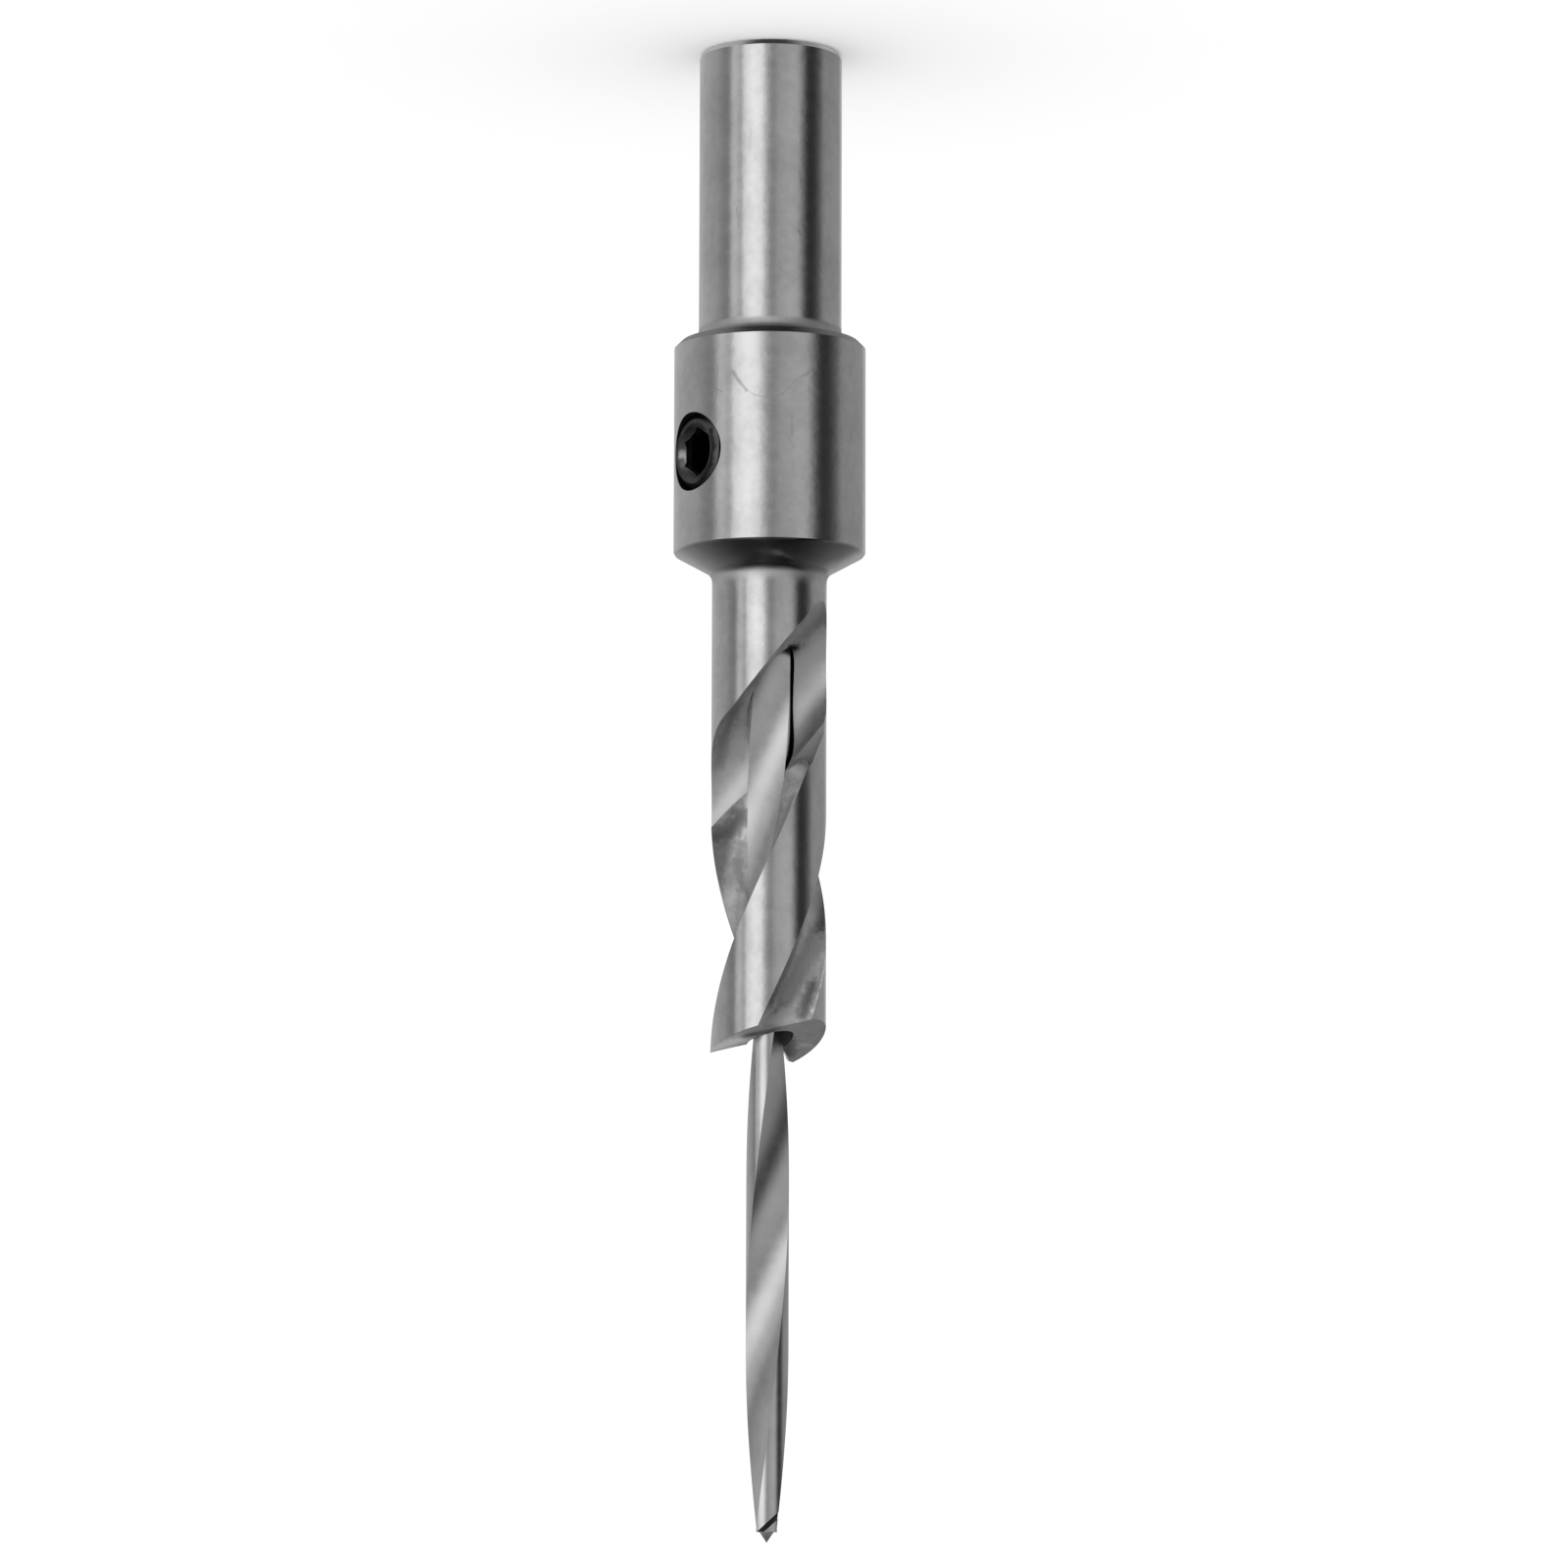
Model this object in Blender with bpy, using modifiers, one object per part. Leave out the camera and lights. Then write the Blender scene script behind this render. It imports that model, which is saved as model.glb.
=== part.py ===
"""Countersink bit: a fluted cutter on a round shank, a long pilot drill and the set screw that holds it.

Metres, +Z up. The bit stands on the flat end of its shank with the drill's point at the top.
The origin is the centre of the shank's end face. Angles turn about +Z, from +X towards +Y.
"""
import math

import bmesh
import bpy

MM = 0.001

# Turned body: shank, collar and neck
SHANK_DIAMETER = 10.0 * MM
SHANK_LENGTH = 20.7 * MM
SHANK_CHAMFER = 0.4 * MM
SHANK_FILLET = 0.9 * MM
COLLAR_DIAMETER = 13.4 * MM
COLLAR_LENGTH = 15.0 * MM
COLLAR_CHAMFER = 0.48 * MM
COLLAR_EDGE_BREAK = 0.12 * MM
COLLAR_TAPER_ANGLE = math.radians(29)
NECK_FILLET = 0.9 * MM

# Fluted cutter, from the collar's end to the middle of its slanted end
CUTTER_DIAMETER = 8.0 * MM
CUTTER_LENGTH = 34.0 * MM
CUTTER_LEAD = 54.6 * MM
END_SLOPE_SIDEWAYS = 0.24
END_SLOPE_FRONT = 0.21
END_SLOPE_BACK = 0.45

# Wide flute: a radial rake face on one side and a round heel wall on the other
RAKE_ANGLE_AT_END = math.radians(-9.5)
WIDE_FLUTE_ANGLE = math.radians(112)
WIDE_FLUTE_WALL_RADIUS = 3.3 * MM
WIDE_FLUTE_FLOOR = 0.6 * MM
WIDE_FLUTE_INTO_SLOT = 1.5 * MM

# Oblique slot that the wheel of the wide flute leaves where it comes out of the body
SLOT_BELOW_END = 23.4 * MM
SLOT_FROM_RAKE = math.radians(74)
SLOT_TILT = math.radians(38.7)
SLOT_OFFSET = 2.05 * MM
SLOT_WIDTH = 6.7 * MM
SLOT_DEPTH = 3.7 * MM
SLOT_PAST_AXIS = 0.5 * MM
SLOT_LENGTH = 23.0 * MM
SLOT_SHIFT = 3.5 * MM
SLOT_FLOOR_RADIUS = 2.94 * MM
SLOT_FLOOR_SHIFT = 0.36 * MM
SLOT_FLOOR_START = math.radians(-15)
SLOT_FLOOR_END = math.radians(141)

# Narrow flute on the far side of the front land
FRONT_LAND_ANGLE = math.radians(66)
NARROW_FLUTE_ANGLE = math.radians(57)
NARROW_FLUTE_DEPTH = 1.25 * MM
NARROW_FLUTE_LENGTH = 23.7 * MM
NARROW_FLUTE_WHEEL = 14.0 * MM

# Pilot drill
PILOT_DIAMETER = 2.95 * MM
PILOT_LENGTH = 88.0 * MM
PILOT_PROTRUSION = 34.5 * MM
PILOT_FLUTE_LENGTH = 64.0 * MM
PILOT_LEAD = 73.0 * MM
PILOT_FLUTE_ANGLE_AT_TIP = math.radians(5)
PILOT_LAND_ANGLE = math.radians(57)
PILOT_WEB = 1.05 * MM
PILOT_WHEEL = 20.0 * MM
PILOT_POINT_LENGTH = 0.75 * MM
PILOT_POINT_DIAMETER = 1.0 * MM
PILOT_CHAMFER = 0.2 * MM
DRILL_POINT_ANGLE = math.radians(118)

# Set screw across the collar
SCREW_DIAMETER = 5.1 * MM
SCREW_FROM_SHANK = 8.35 * MM
SCREW_ANGLE = math.radians(-35)
SCREW_CHAMFER = 0.3 * MM
SCREW_SINK = 0.3 * MM
HEX_ACROSS_FLATS = 3.0 * MM
HEX_DEPTH = 2.3 * MM

# Fit between the pieces
CLEARANCE = 0.3 * MM

# Mesh density, and how far the cutters reach past the metal
TURN_STEPS = 96
ROUND_STEPS = 40
SLOT_STEPS = 32
FILLET_STEPS = 4
HELIX_STEP = math.radians(4)
WALL_POINTS = 12
RAKE_POINTS = 8
BORE_TURN = math.radians(2.5)
OVERSHOOT = 2.0 * MM
MERGE_DISTANCE = 0.00001

# Values that follow from the sizes above
SHANK_RADIUS = SHANK_DIAMETER / 2
COLLAR_RADIUS = COLLAR_DIAMETER / 2
COLLAR_END = SHANK_LENGTH + COLLAR_LENGTH
CUTTER_RADIUS = CUTTER_DIAMETER / 2
CUTTER_END = COLLAR_END + CUTTER_LENGTH
BLANK_END = CUTTER_END + CUTTER_RADIUS
CUT_TOP = BLANK_END + OVERSHOOT
CUT_RADIUS = CUTTER_RADIUS + OVERSHOOT
PILOT_RADIUS = PILOT_DIAMETER / 2
PILOT_TIP = CUTTER_END + PILOT_PROTRUSION
PILOT_START = PILOT_TIP - PILOT_LENGTH
BORE_RADIUS = PILOT_RADIUS + CLEARANCE
BORE_FLOOR = PILOT_START - CLEARANCE
SCREW_RADIUS = SCREW_DIAMETER / 2
SCREW_HEIGHT = SHANK_LENGTH + SCREW_FROM_SHANK
SCREW_FACE = COLLAR_RADIUS - SCREW_SINK


# Scene and materials

for old_object in list(bpy.data.objects):
    bpy.data.objects.remove(old_object, do_unlink=True)

parts = bpy.data.collections.new("countersink_bit")
cutters = bpy.data.collections.new("cutters")
bpy.context.scene.collection.children.link(parts)
bpy.context.scene.collection.children.link(cutters)


def make_material(name, colour, roughness, metallic):
    material = bpy.data.materials.new(name)
    material.use_nodes = True
    shader = material.node_tree.nodes["Principled BSDF"]
    shader.inputs["Base Color"].default_value = (*colour, 1.0)
    shader.inputs["Roughness"].default_value = roughness
    shader.inputs["Metallic"].default_value = metallic
    return material


ground_steel = make_material("ground_steel", (0.62, 0.62, 0.63), 0.28, 1.0)
drill_steel = make_material("drill_steel", (0.66, 0.66, 0.67), 0.22, 1.0)
black_oxide = make_material("black_oxide", (0.03, 0.03, 0.032), 0.45, 0.6)


# Building helpers

def add_part(name, mesh, material):
    made = bpy.data.objects.new(name, mesh)
    mesh.materials.append(material)
    parts.objects.link(made)
    return made


def as_cutter(made):
    for collection in list(made.users_collection):
        collection.objects.unlink(made)
    cutters.objects.link(made)
    made.hide_render = True
    made.display_type = "WIRE"
    return made


def cut(target, cutter):
    boolean = target.modifiers.new(cutter.name, "BOOLEAN")
    boolean.operation = "DIFFERENCE"
    boolean.solver = "EXACT"
    boolean.object = cutter


def arc(centre, radius, start, end, count):
    """Points on an arc, both ends included."""
    points = []
    for index in range(count + 1):
        angle = start + (end - start) * index / count
        points.append((centre[0] + radius * math.cos(angle), centre[1] + radius * math.sin(angle)))
    return points


def profile_mesh(name, profile):
    """A line of (radius, height) points, given from the top down, in the XZ plane."""
    mesh = bpy.data.meshes.new(name)
    edges = [(index, index + 1) for index in range(len(profile) - 1)]
    mesh.from_pydata([(radius, 0, height) for radius, height in profile], edges, [])
    return mesh


def turn_about_z(made, steps):
    screw = made.modifiers.new("Turn", "SCREW")
    screw.steps = steps
    screw.render_steps = steps
    screw.use_merge_vertices = True
    screw.merge_threshold = MERGE_DISTANCE
    screw.use_smooth_shade = False
    return made


def loft_cutter(name, rings):
    """Join closed rings of points into one capped solid."""
    mesh = bpy.data.meshes.new(name)
    shape = bmesh.new()
    rows = [[shape.verts.new(point) for point in ring] for ring in rings]
    count = len(rows[0])
    for below, above in zip(rows, rows[1:]):
        for index in range(count):
            after = (index + 1) % count
            shape.faces.new((below[index], below[after], above[after], above[index]))
    shape.faces.new(rows[0][::-1])
    shape.faces.new(rows[-1])
    bmesh.ops.recalc_face_normals(shape, faces=shape.faces)
    bmesh.ops.triangulate(shape, faces=shape.faces)
    shape.to_mesh(mesh)
    shape.free()
    return as_cutter(bpy.data.objects.new(name, mesh))


def helix_cutter(name, section, lead, top, angle_at_top, length, overshoot):
    """Sweep a section of (outward, sideways) points down a right-hand helix.

    The section's outward axis points along angle_at_top at the height top, and the sweep runs from
    overshoot above it to length below it.
    """
    count = math.ceil((length + overshoot) / lead * math.tau / HELIX_STEP)
    rings = []
    for index in range(count + 1):
        height = top - length + (length + overshoot) * index / count
        angle = angle_at_top + math.tau * (height - top) / lead
        cosine = math.cos(angle)
        sine = math.sin(angle)
        ring = []
        for outward, sideways in section(height):
            ring.append((outward * cosine - sideways * sine, outward * sine + sideways * cosine, height))
        rings.append(ring)
    return loft_cutter(name, rings)


def arc_flute(radius, depth, width_angle, reach, lift=0):
    """A flute's arc that spans width_angle on a round bar, closed outside the bar.

    lift moves the whole section outward, as a wheel does where it comes out of its cut.
    """
    edge_out = radius * math.cos(width_angle / 2)
    edge_side = radius * math.sin(width_angle / 2)
    rise = edge_out - radius + depth
    arc_radius = (rise ** 2 + edge_side ** 2) / (2 * rise)
    centre = radius - depth + arc_radius
    half_angle = math.atan2(edge_side, centre - edge_out)
    points = arc((centre, 0), arc_radius, math.pi - half_angle, math.pi + half_angle, WALL_POINTS)
    spread = edge_side * reach / radius
    points += [(reach, -spread), (reach, spread)]
    return [(outward + lift, sideways) for outward, sideways in points]


def wheel_lift(wheel, travel):
    """How far the rim of a wheel lies above its deepest point, travel away from it."""
    if travel <= 0:
        return 0
    return wheel - math.sqrt(wheel ** 2 - travel ** 2)


def wheel_travel(wheel, lift):
    return math.sqrt(wheel ** 2 - (wheel - lift) ** 2)


# Turned body with its shank, collar, taper and neck

taper_height = (COLLAR_RADIUS - CUTTER_RADIUS) * math.tan(COLLAR_TAPER_ANGLE)
fillet_turn = math.pi / 2 - COLLAR_TAPER_ANGLE
fillet_rise = NECK_FILLET * math.tan(fillet_turn / 2)
neck_fillet_centre = (CUTTER_RADIUS + NECK_FILLET, COLLAR_END + taper_height + fillet_rise)
shank_fillet_centre = (SHANK_RADIUS + SHANK_FILLET, SHANK_LENGTH - SHANK_FILLET)
edge_rise = COLLAR_EDGE_BREAK * math.tan(COLLAR_TAPER_ANGLE)

body_profile = [(0, BLANK_END), (CUTTER_RADIUS, BLANK_END)]
body_profile += arc(neck_fillet_centre, NECK_FILLET, math.pi, math.pi + fillet_turn, FILLET_STEPS)
body_profile += [
    (COLLAR_RADIUS - COLLAR_EDGE_BREAK, COLLAR_END + edge_rise),
    (COLLAR_RADIUS, COLLAR_END - COLLAR_EDGE_BREAK),
    (COLLAR_RADIUS, SHANK_LENGTH + COLLAR_CHAMFER),
    (COLLAR_RADIUS - COLLAR_CHAMFER, SHANK_LENGTH),
]
body_profile += arc(shank_fillet_centre, SHANK_FILLET, math.pi / 2, math.pi, FILLET_STEPS)
body_profile += [
    (SHANK_RADIUS, SHANK_CHAMFER),
    (SHANK_RADIUS - SHANK_CHAMFER, 0),
    (0, 0),
]
cutter_body = add_part("cutter_body", profile_mesh("cutter_body", body_profile), ground_steel)
turn_about_z(cutter_body, TURN_STEPS)


# Blind bore for the pilot drill, with the cone that a drill leaves at its floor

bore_profile = [
    (0, CUT_TOP),
    (BORE_RADIUS, CUT_TOP),
    (BORE_RADIUS, BORE_FLOOR),
    (0, BORE_FLOOR - BORE_RADIUS / math.tan(DRILL_POINT_ANGLE / 2)),
]
bore = as_cutter(bpy.data.objects.new("bore", profile_mesh("bore", bore_profile)))
turn_about_z(bore, ROUND_STEPS)
bore.rotation_euler.z = BORE_TURN
cut(cutter_body, bore)


# Cross hole for the set screw, from outside the collar to the bore

bpy.ops.mesh.primitive_cylinder_add(
    vertices=ROUND_STEPS,
    radius=SCREW_RADIUS + CLEARANCE,
    depth=COLLAR_RADIUS + OVERSHOOT,
    location=(0, 0, (COLLAR_RADIUS + OVERSHOOT) / 2),
)
screw_hole = as_cutter(bpy.context.object)
screw_hole.name = "screw_hole"
screw_hole.data.transform(screw_hole.matrix_basis)
screw_hole.location = (0, 0, SCREW_HEIGHT)
screw_hole.rotation_euler = (0, math.pi / 2, SCREW_ANGLE)
cut(cutter_body, screw_hole)


# Wide flute, which opens the bore, and the oblique slot at its lower end

def rake_angle(height):
    return RAKE_ANGLE_AT_END + math.tau * (height - CUTTER_END) / CUTTER_LEAD


def wide_flute_section(height):
    """The rake face lies along the outward axis, and the heel wall is a round arc beside it."""
    heel = (CUTTER_RADIUS * math.cos(WIDE_FLUTE_ANGLE), CUTTER_RADIUS * math.sin(WIDE_FLUTE_ANGLE))
    foot = (WIDE_FLUTE_FLOOR, 0)
    chord = math.dist(heel, foot)
    offset = math.sqrt(WIDE_FLUTE_WALL_RADIUS ** 2 - (chord / 2) ** 2)
    centre = (
        (heel[0] + foot[0]) / 2 + offset * (heel[1] - foot[1]) / chord,
        (heel[1] + foot[1]) / 2 + offset * (foot[0] - heel[0]) / chord,
    )
    start = math.atan2(heel[1] - centre[1], heel[0] - centre[0])
    end = math.atan2(foot[1] - centre[1], foot[0] - centre[0]) + math.tau
    points = arc(centre, WIDE_FLUTE_WALL_RADIUS, start, end, WALL_POINTS)
    face = CUT_RADIUS - WIDE_FLUTE_FLOOR
    points += [(WIDE_FLUTE_FLOOR + face * step / RAKE_POINTS, 0) for step in range(1, RAKE_POINTS + 1)]
    points += [(CUT_RADIUS, CUT_RADIUS), (heel[0] * CUT_RADIUS / CUTTER_RADIUS, CUT_RADIUS)]
    return points


slot_height = CUTTER_END - SLOT_BELOW_END
slot_direction = rake_angle(slot_height) + SLOT_FROM_RAKE
slot_mouth_out = SLOT_DEPTH - SLOT_PAST_AXIS

# The slot's section has a round floor and, towards the bit's end, a straight sloping wall
slot_section = arc(
    (SLOT_FLOOR_SHIFT, SLOT_DEPTH - SLOT_FLOOR_RADIUS),
    SLOT_FLOOR_RADIUS,
    SLOT_FLOOR_START,
    SLOT_FLOOR_END,
    SLOT_STEPS,
)
slot_section += [
    (-SLOT_WIDTH / 2, 0),
    (-SLOT_WIDTH / 2, -SLOT_DEPTH),
    (SLOT_WIDTH / 2, -SLOT_DEPTH),
]
slot_ends = (SLOT_SHIFT - SLOT_LENGTH / 2, SLOT_SHIFT + SLOT_LENGTH / 2)
wheel_slot = loft_cutter("wheel_slot", [[(x, y, z) for x, y in slot_section] for z in slot_ends])
wheel_slot.rotation_euler = (0, SLOT_TILT, slot_direction + math.pi / 2)
wheel_slot.location = (
    slot_mouth_out * math.cos(slot_direction) + SLOT_OFFSET * math.sin(slot_direction),
    slot_mouth_out * math.sin(slot_direction) - SLOT_OFFSET * math.cos(slot_direction),
    slot_height,
)
cut(cutter_body, wheel_slot)

wide_flute = helix_cutter(
    "wide_flute",
    wide_flute_section,
    CUTTER_LEAD,
    CUTTER_END,
    RAKE_ANGLE_AT_END,
    SLOT_BELOW_END - WIDE_FLUTE_INTO_SLOT,
    CUT_TOP - CUTTER_END,
)
cut(cutter_body, wide_flute)


# Narrow flute, shallow, with its own run-out

narrow_lift = NARROW_FLUTE_DEPTH + CLEARANCE
narrow_start = CUTTER_END - NARROW_FLUTE_LENGTH


def narrow_flute_section(height):
    lift = wheel_lift(NARROW_FLUTE_WHEEL, narrow_start - height)
    return arc_flute(CUTTER_RADIUS, NARROW_FLUTE_DEPTH, NARROW_FLUTE_ANGLE, CUT_RADIUS, lift)


narrow_flute = helix_cutter(
    "narrow_flute",
    narrow_flute_section,
    CUTTER_LEAD,
    CUTTER_END,
    RAKE_ANGLE_AT_END - FRONT_LAND_ANGLE - NARROW_FLUTE_ANGLE / 2,
    NARROW_FLUTE_LENGTH + wheel_travel(NARROW_FLUTE_WHEEL, narrow_lift),
    CUT_TOP - CUTTER_END,
)
cut(cutter_body, narrow_flute)


# Slanted end: two planes that meet over the X axis, both rising towards the back

def end_height(x, y):
    slope = END_SLOPE_BACK if y > 0 else END_SLOPE_FRONT
    return CUTTER_END + END_SLOPE_SIDEWAYS * x + slope * y


end_rings = []
for side in (-CUT_RADIUS, CUT_RADIUS):
    ring = [(side, depth, end_height(side, depth)) for depth in (-CUT_RADIUS, 0, CUT_RADIUS)]
    ring += [(side, CUT_RADIUS, CUT_TOP + CUT_RADIUS), (side, -CUT_RADIUS, CUT_TOP + CUT_RADIUS)]
    end_rings.append(ring)
slanted_end = loft_cutter("slanted_end", end_rings)
cut(cutter_body, slanted_end)


# Pilot drill with two slow flutes, a plain shank and a centre point

spur_height = PILOT_TIP - PILOT_POINT_LENGTH
pilot_profile = [
    (0, PILOT_TIP),
    (PILOT_POINT_DIAMETER / 2, spur_height),
    (PILOT_RADIUS, spur_height),
    (PILOT_RADIUS, PILOT_START + PILOT_CHAMFER),
    (PILOT_RADIUS - PILOT_CHAMFER, PILOT_START),
    (0, PILOT_START),
]
pilot_drill = add_part("pilot_drill", profile_mesh("pilot_drill", pilot_profile), drill_steel)
turn_about_z(pilot_drill, ROUND_STEPS)

pilot_flute_depth = PILOT_RADIUS - PILOT_WEB / 2
pilot_lift = pilot_flute_depth + CLEARANCE / 2
pilot_flute_start = PILOT_TIP - PILOT_FLUTE_LENGTH


def pilot_flute_section(height):
    lift = wheel_lift(PILOT_WHEEL, pilot_flute_start - height)
    reach = PILOT_RADIUS + OVERSHOOT
    return arc_flute(PILOT_RADIUS, pilot_flute_depth, math.pi - PILOT_LAND_ANGLE, reach, lift)


for number in range(2):
    pilot_flute = helix_cutter(
        f"pilot_flute_{number + 1}",
        pilot_flute_section,
        PILOT_LEAD,
        PILOT_TIP,
        PILOT_FLUTE_ANGLE_AT_TIP + number * math.pi,
        PILOT_FLUTE_LENGTH + wheel_travel(PILOT_WHEEL, pilot_lift),
        OVERSHOOT,
    )
    cut(pilot_drill, pilot_flute)


# Set screw with a hexagon socket, its flat point against the pilot drill's shank

screw_profile = [
    (0, SCREW_FACE),
    (SCREW_RADIUS - SCREW_CHAMFER, SCREW_FACE),
    (SCREW_RADIUS, SCREW_FACE - SCREW_CHAMFER),
    (SCREW_RADIUS, BORE_RADIUS + SCREW_CHAMFER),
    (SCREW_RADIUS - SCREW_CHAMFER, BORE_RADIUS),
    (0, BORE_RADIUS),
]
set_screw = add_part("set_screw", profile_mesh("set_screw", screw_profile), black_oxide)
turn_about_z(set_screw, ROUND_STEPS)
set_screw.location = (0, 0, SCREW_HEIGHT)
set_screw.rotation_euler = (0, math.pi / 2, SCREW_ANGLE)

bpy.ops.mesh.primitive_cylinder_add(
    vertices=6,
    radius=HEX_ACROSS_FLATS / math.sqrt(3),
    depth=HEX_DEPTH + OVERSHOOT,
    location=(0, 0, SCREW_FACE + (OVERSHOOT - HEX_DEPTH) / 2),
)
hex_socket = as_cutter(bpy.context.object)
hex_socket.name = "hex_socket"
hex_socket.data.transform(hex_socket.matrix_basis)
hex_socket.location = (0, 0, SCREW_HEIGHT)
hex_socket.rotation_euler = (0, math.pi / 2, SCREW_ANGLE)
cut(set_screw, hex_socket)
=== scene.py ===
"""Countersink bit: the dressed model, its studio and its camera.

Metres, +Z up, standing on the shank's flat end. The file follows the bit as it is put together.
"""
import math

import bmesh
import bpy
from mathutils import Matrix, Vector
from mathutils.bvhtree import BVHTree
from mathutils.interpolate import poly_3d_calc


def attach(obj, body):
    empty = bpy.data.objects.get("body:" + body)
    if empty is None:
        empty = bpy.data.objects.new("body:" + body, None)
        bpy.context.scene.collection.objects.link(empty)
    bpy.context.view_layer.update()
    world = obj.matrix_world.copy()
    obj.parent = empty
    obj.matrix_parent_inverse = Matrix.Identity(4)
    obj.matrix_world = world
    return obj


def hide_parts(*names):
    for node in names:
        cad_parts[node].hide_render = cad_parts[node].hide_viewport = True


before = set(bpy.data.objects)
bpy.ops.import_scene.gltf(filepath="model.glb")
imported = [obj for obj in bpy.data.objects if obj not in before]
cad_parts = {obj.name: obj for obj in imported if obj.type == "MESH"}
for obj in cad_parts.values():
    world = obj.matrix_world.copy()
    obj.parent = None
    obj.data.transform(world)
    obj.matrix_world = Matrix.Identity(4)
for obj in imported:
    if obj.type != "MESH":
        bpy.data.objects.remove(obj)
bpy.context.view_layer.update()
MM = 0.001


# Turned blank. The shank, collar and neck are one bar of tool steel, turned and then ground round,
# with a hard chamfer where the shank meets the collar and a tapered shoulder at the other end.

SHANK_RADIUS = 5.0 * MM
SHANK_LENGTH = 20.7 * MM
SHANK_CHAMFER = 0.4 * MM
SHANK_FILLET = 0.9 * MM
COLLAR_RADIUS = 6.7 * MM
COLLAR_LENGTH = 15.0 * MM
COLLAR_CHAMFER = 0.48 * MM
COLLAR_EDGE_BREAK = 0.12 * MM
COLLAR_TAPER_ANGLE = math.radians(29)
COLLAR_END = SHANK_LENGTH + COLLAR_LENGTH
NECK_FILLET = 0.9 * MM
CUTTER_RADIUS = 4.0 * MM
CUTTER_LENGTH = 34.0 * MM
CUTTER_END = COLLAR_END + CUTTER_LENGTH
BLANK_END = CUTTER_END + CUTTER_RADIUS
TURN_STEPS = 288
CURVE_STEPS = 10


def arc(centre, radius, start, end, count):
    """Points on an arc, both ends included."""
    points = []
    for index in range(count + 1):
        angle = start + (end - start) * index / count
        points.append((centre[0] + radius * math.cos(angle), centre[1] + radius * math.sin(angle)))
    return points


def turned(name, profile, steps):
    """Turn a line of (radius, height) points, given from the top down, about Z."""
    mesh = bpy.data.meshes.new(name)
    shape = bmesh.new()
    rows = []
    for radius, height in profile:
        if radius == 0:
            rows.append([shape.verts.new((0, 0, height))] * steps)
            continue
        ring = []
        for index in range(steps):
            angle = math.tau * index / steps
            ring.append(shape.verts.new((radius * math.cos(angle), radius * math.sin(angle), height)))
        rows.append(ring)
    for upper, lower in zip(rows, rows[1:]):
        for index in range(steps):
            after = (index + 1) % steps
            corners = []
            for corner in (upper[index], lower[index], lower[after], upper[after]):
                if corner not in corners:
                    corners.append(corner)
            shape.faces.new(corners)
    shape.to_mesh(mesh)
    shape.free()
    made = bpy.data.objects.new(name, mesh)
    bpy.context.scene.collection.objects.link(made)
    return made


taper_height = (COLLAR_RADIUS - CUTTER_RADIUS) * math.tan(COLLAR_TAPER_ANGLE)
fillet_turn = math.pi / 2 - COLLAR_TAPER_ANGLE
fillet_rise = NECK_FILLET * math.tan(fillet_turn / 2)
neck_fillet_centre = (CUTTER_RADIUS + NECK_FILLET, COLLAR_END + taper_height + fillet_rise)
shank_fillet_centre = (SHANK_RADIUS + SHANK_FILLET, SHANK_LENGTH - SHANK_FILLET)
edge_rise = COLLAR_EDGE_BREAK * math.tan(COLLAR_TAPER_ANGLE)

blank_profile = [(0, BLANK_END), (CUTTER_RADIUS, BLANK_END)]
blank_profile += arc(neck_fillet_centre, NECK_FILLET, math.pi, math.pi + fillet_turn, CURVE_STEPS)
blank_profile += [
    (COLLAR_RADIUS - COLLAR_EDGE_BREAK, COLLAR_END + edge_rise),
    (COLLAR_RADIUS, COLLAR_END - COLLAR_EDGE_BREAK),
    (COLLAR_RADIUS, SHANK_LENGTH + COLLAR_CHAMFER),
    (COLLAR_RADIUS - COLLAR_CHAMFER, SHANK_LENGTH),
]
blank_profile += arc(shank_fillet_centre, SHANK_FILLET, math.pi / 2, math.pi, CURVE_STEPS)
blank_profile += [
    (SHANK_RADIUS, SHANK_CHAMFER),
    (SHANK_RADIUS - SHANK_CHAMFER, 0),
    (0, 0),
]
fluted_body = turned("fluted_body", blank_profile, TURN_STEPS)


# Bore and cross hole. The drill slides in a blind bore down the bar's middle, and a tapped hole
# through one side of the collar takes the screw that clamps it.

PILOT_RADIUS = 1.475 * MM
PILOT_LENGTH = 88.0 * MM
PILOT_PROTRUSION = 34.5 * MM
PILOT_TIP = CUTTER_END + PILOT_PROTRUSION
PILOT_START = PILOT_TIP - PILOT_LENGTH
BORE_RADIUS = 1.62 * MM
BORE_SHIFT = 0.13 * MM
DRILL_POINT_ANGLE = math.radians(118)
SCREW_HOLE_RADIUS = 2.7 * MM
HOLE_MOUTH_FLOOR = 5.6 * MM
HOLE_MOUTH_SHIFT = (-0.12 * MM, -0.1 * MM, 0)
SCREW_HEIGHT = SHANK_LENGTH + 8.35 * MM
SCREW_ANGLE = math.radians(-35)
OVERSHOOT = 2.0 * MM
CUT_TOP = BLANK_END + OVERSHOOT
ROUND_STEPS = 128

screw_turn = Matrix.Rotation(SCREW_ANGLE, 4, "Z") @ Matrix.Rotation(math.pi / 2, 4, "Y")
screw_seat = Matrix.Translation((0, 0, SCREW_HEIGHT)) @ screw_turn


def plug(name, radius, top, bottom, steps):
    """A plain round or hexagonal cutter from top down to bottom."""
    return turned(name, [(0, top), (radius, top), (radius, bottom), (0, bottom)], steps)


bore_profile = [
    (0, CUT_TOP),
    (BORE_RADIUS, CUT_TOP),
    (BORE_RADIUS, PILOT_START),
    (0, PILOT_START - BORE_RADIUS / math.tan(DRILL_POINT_ANGLE / 2)),
]
bore = turned("bore", bore_profile, ROUND_STEPS)
bore.data.transform(Matrix.Translation((-BORE_SHIFT, 0, 0)))

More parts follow.
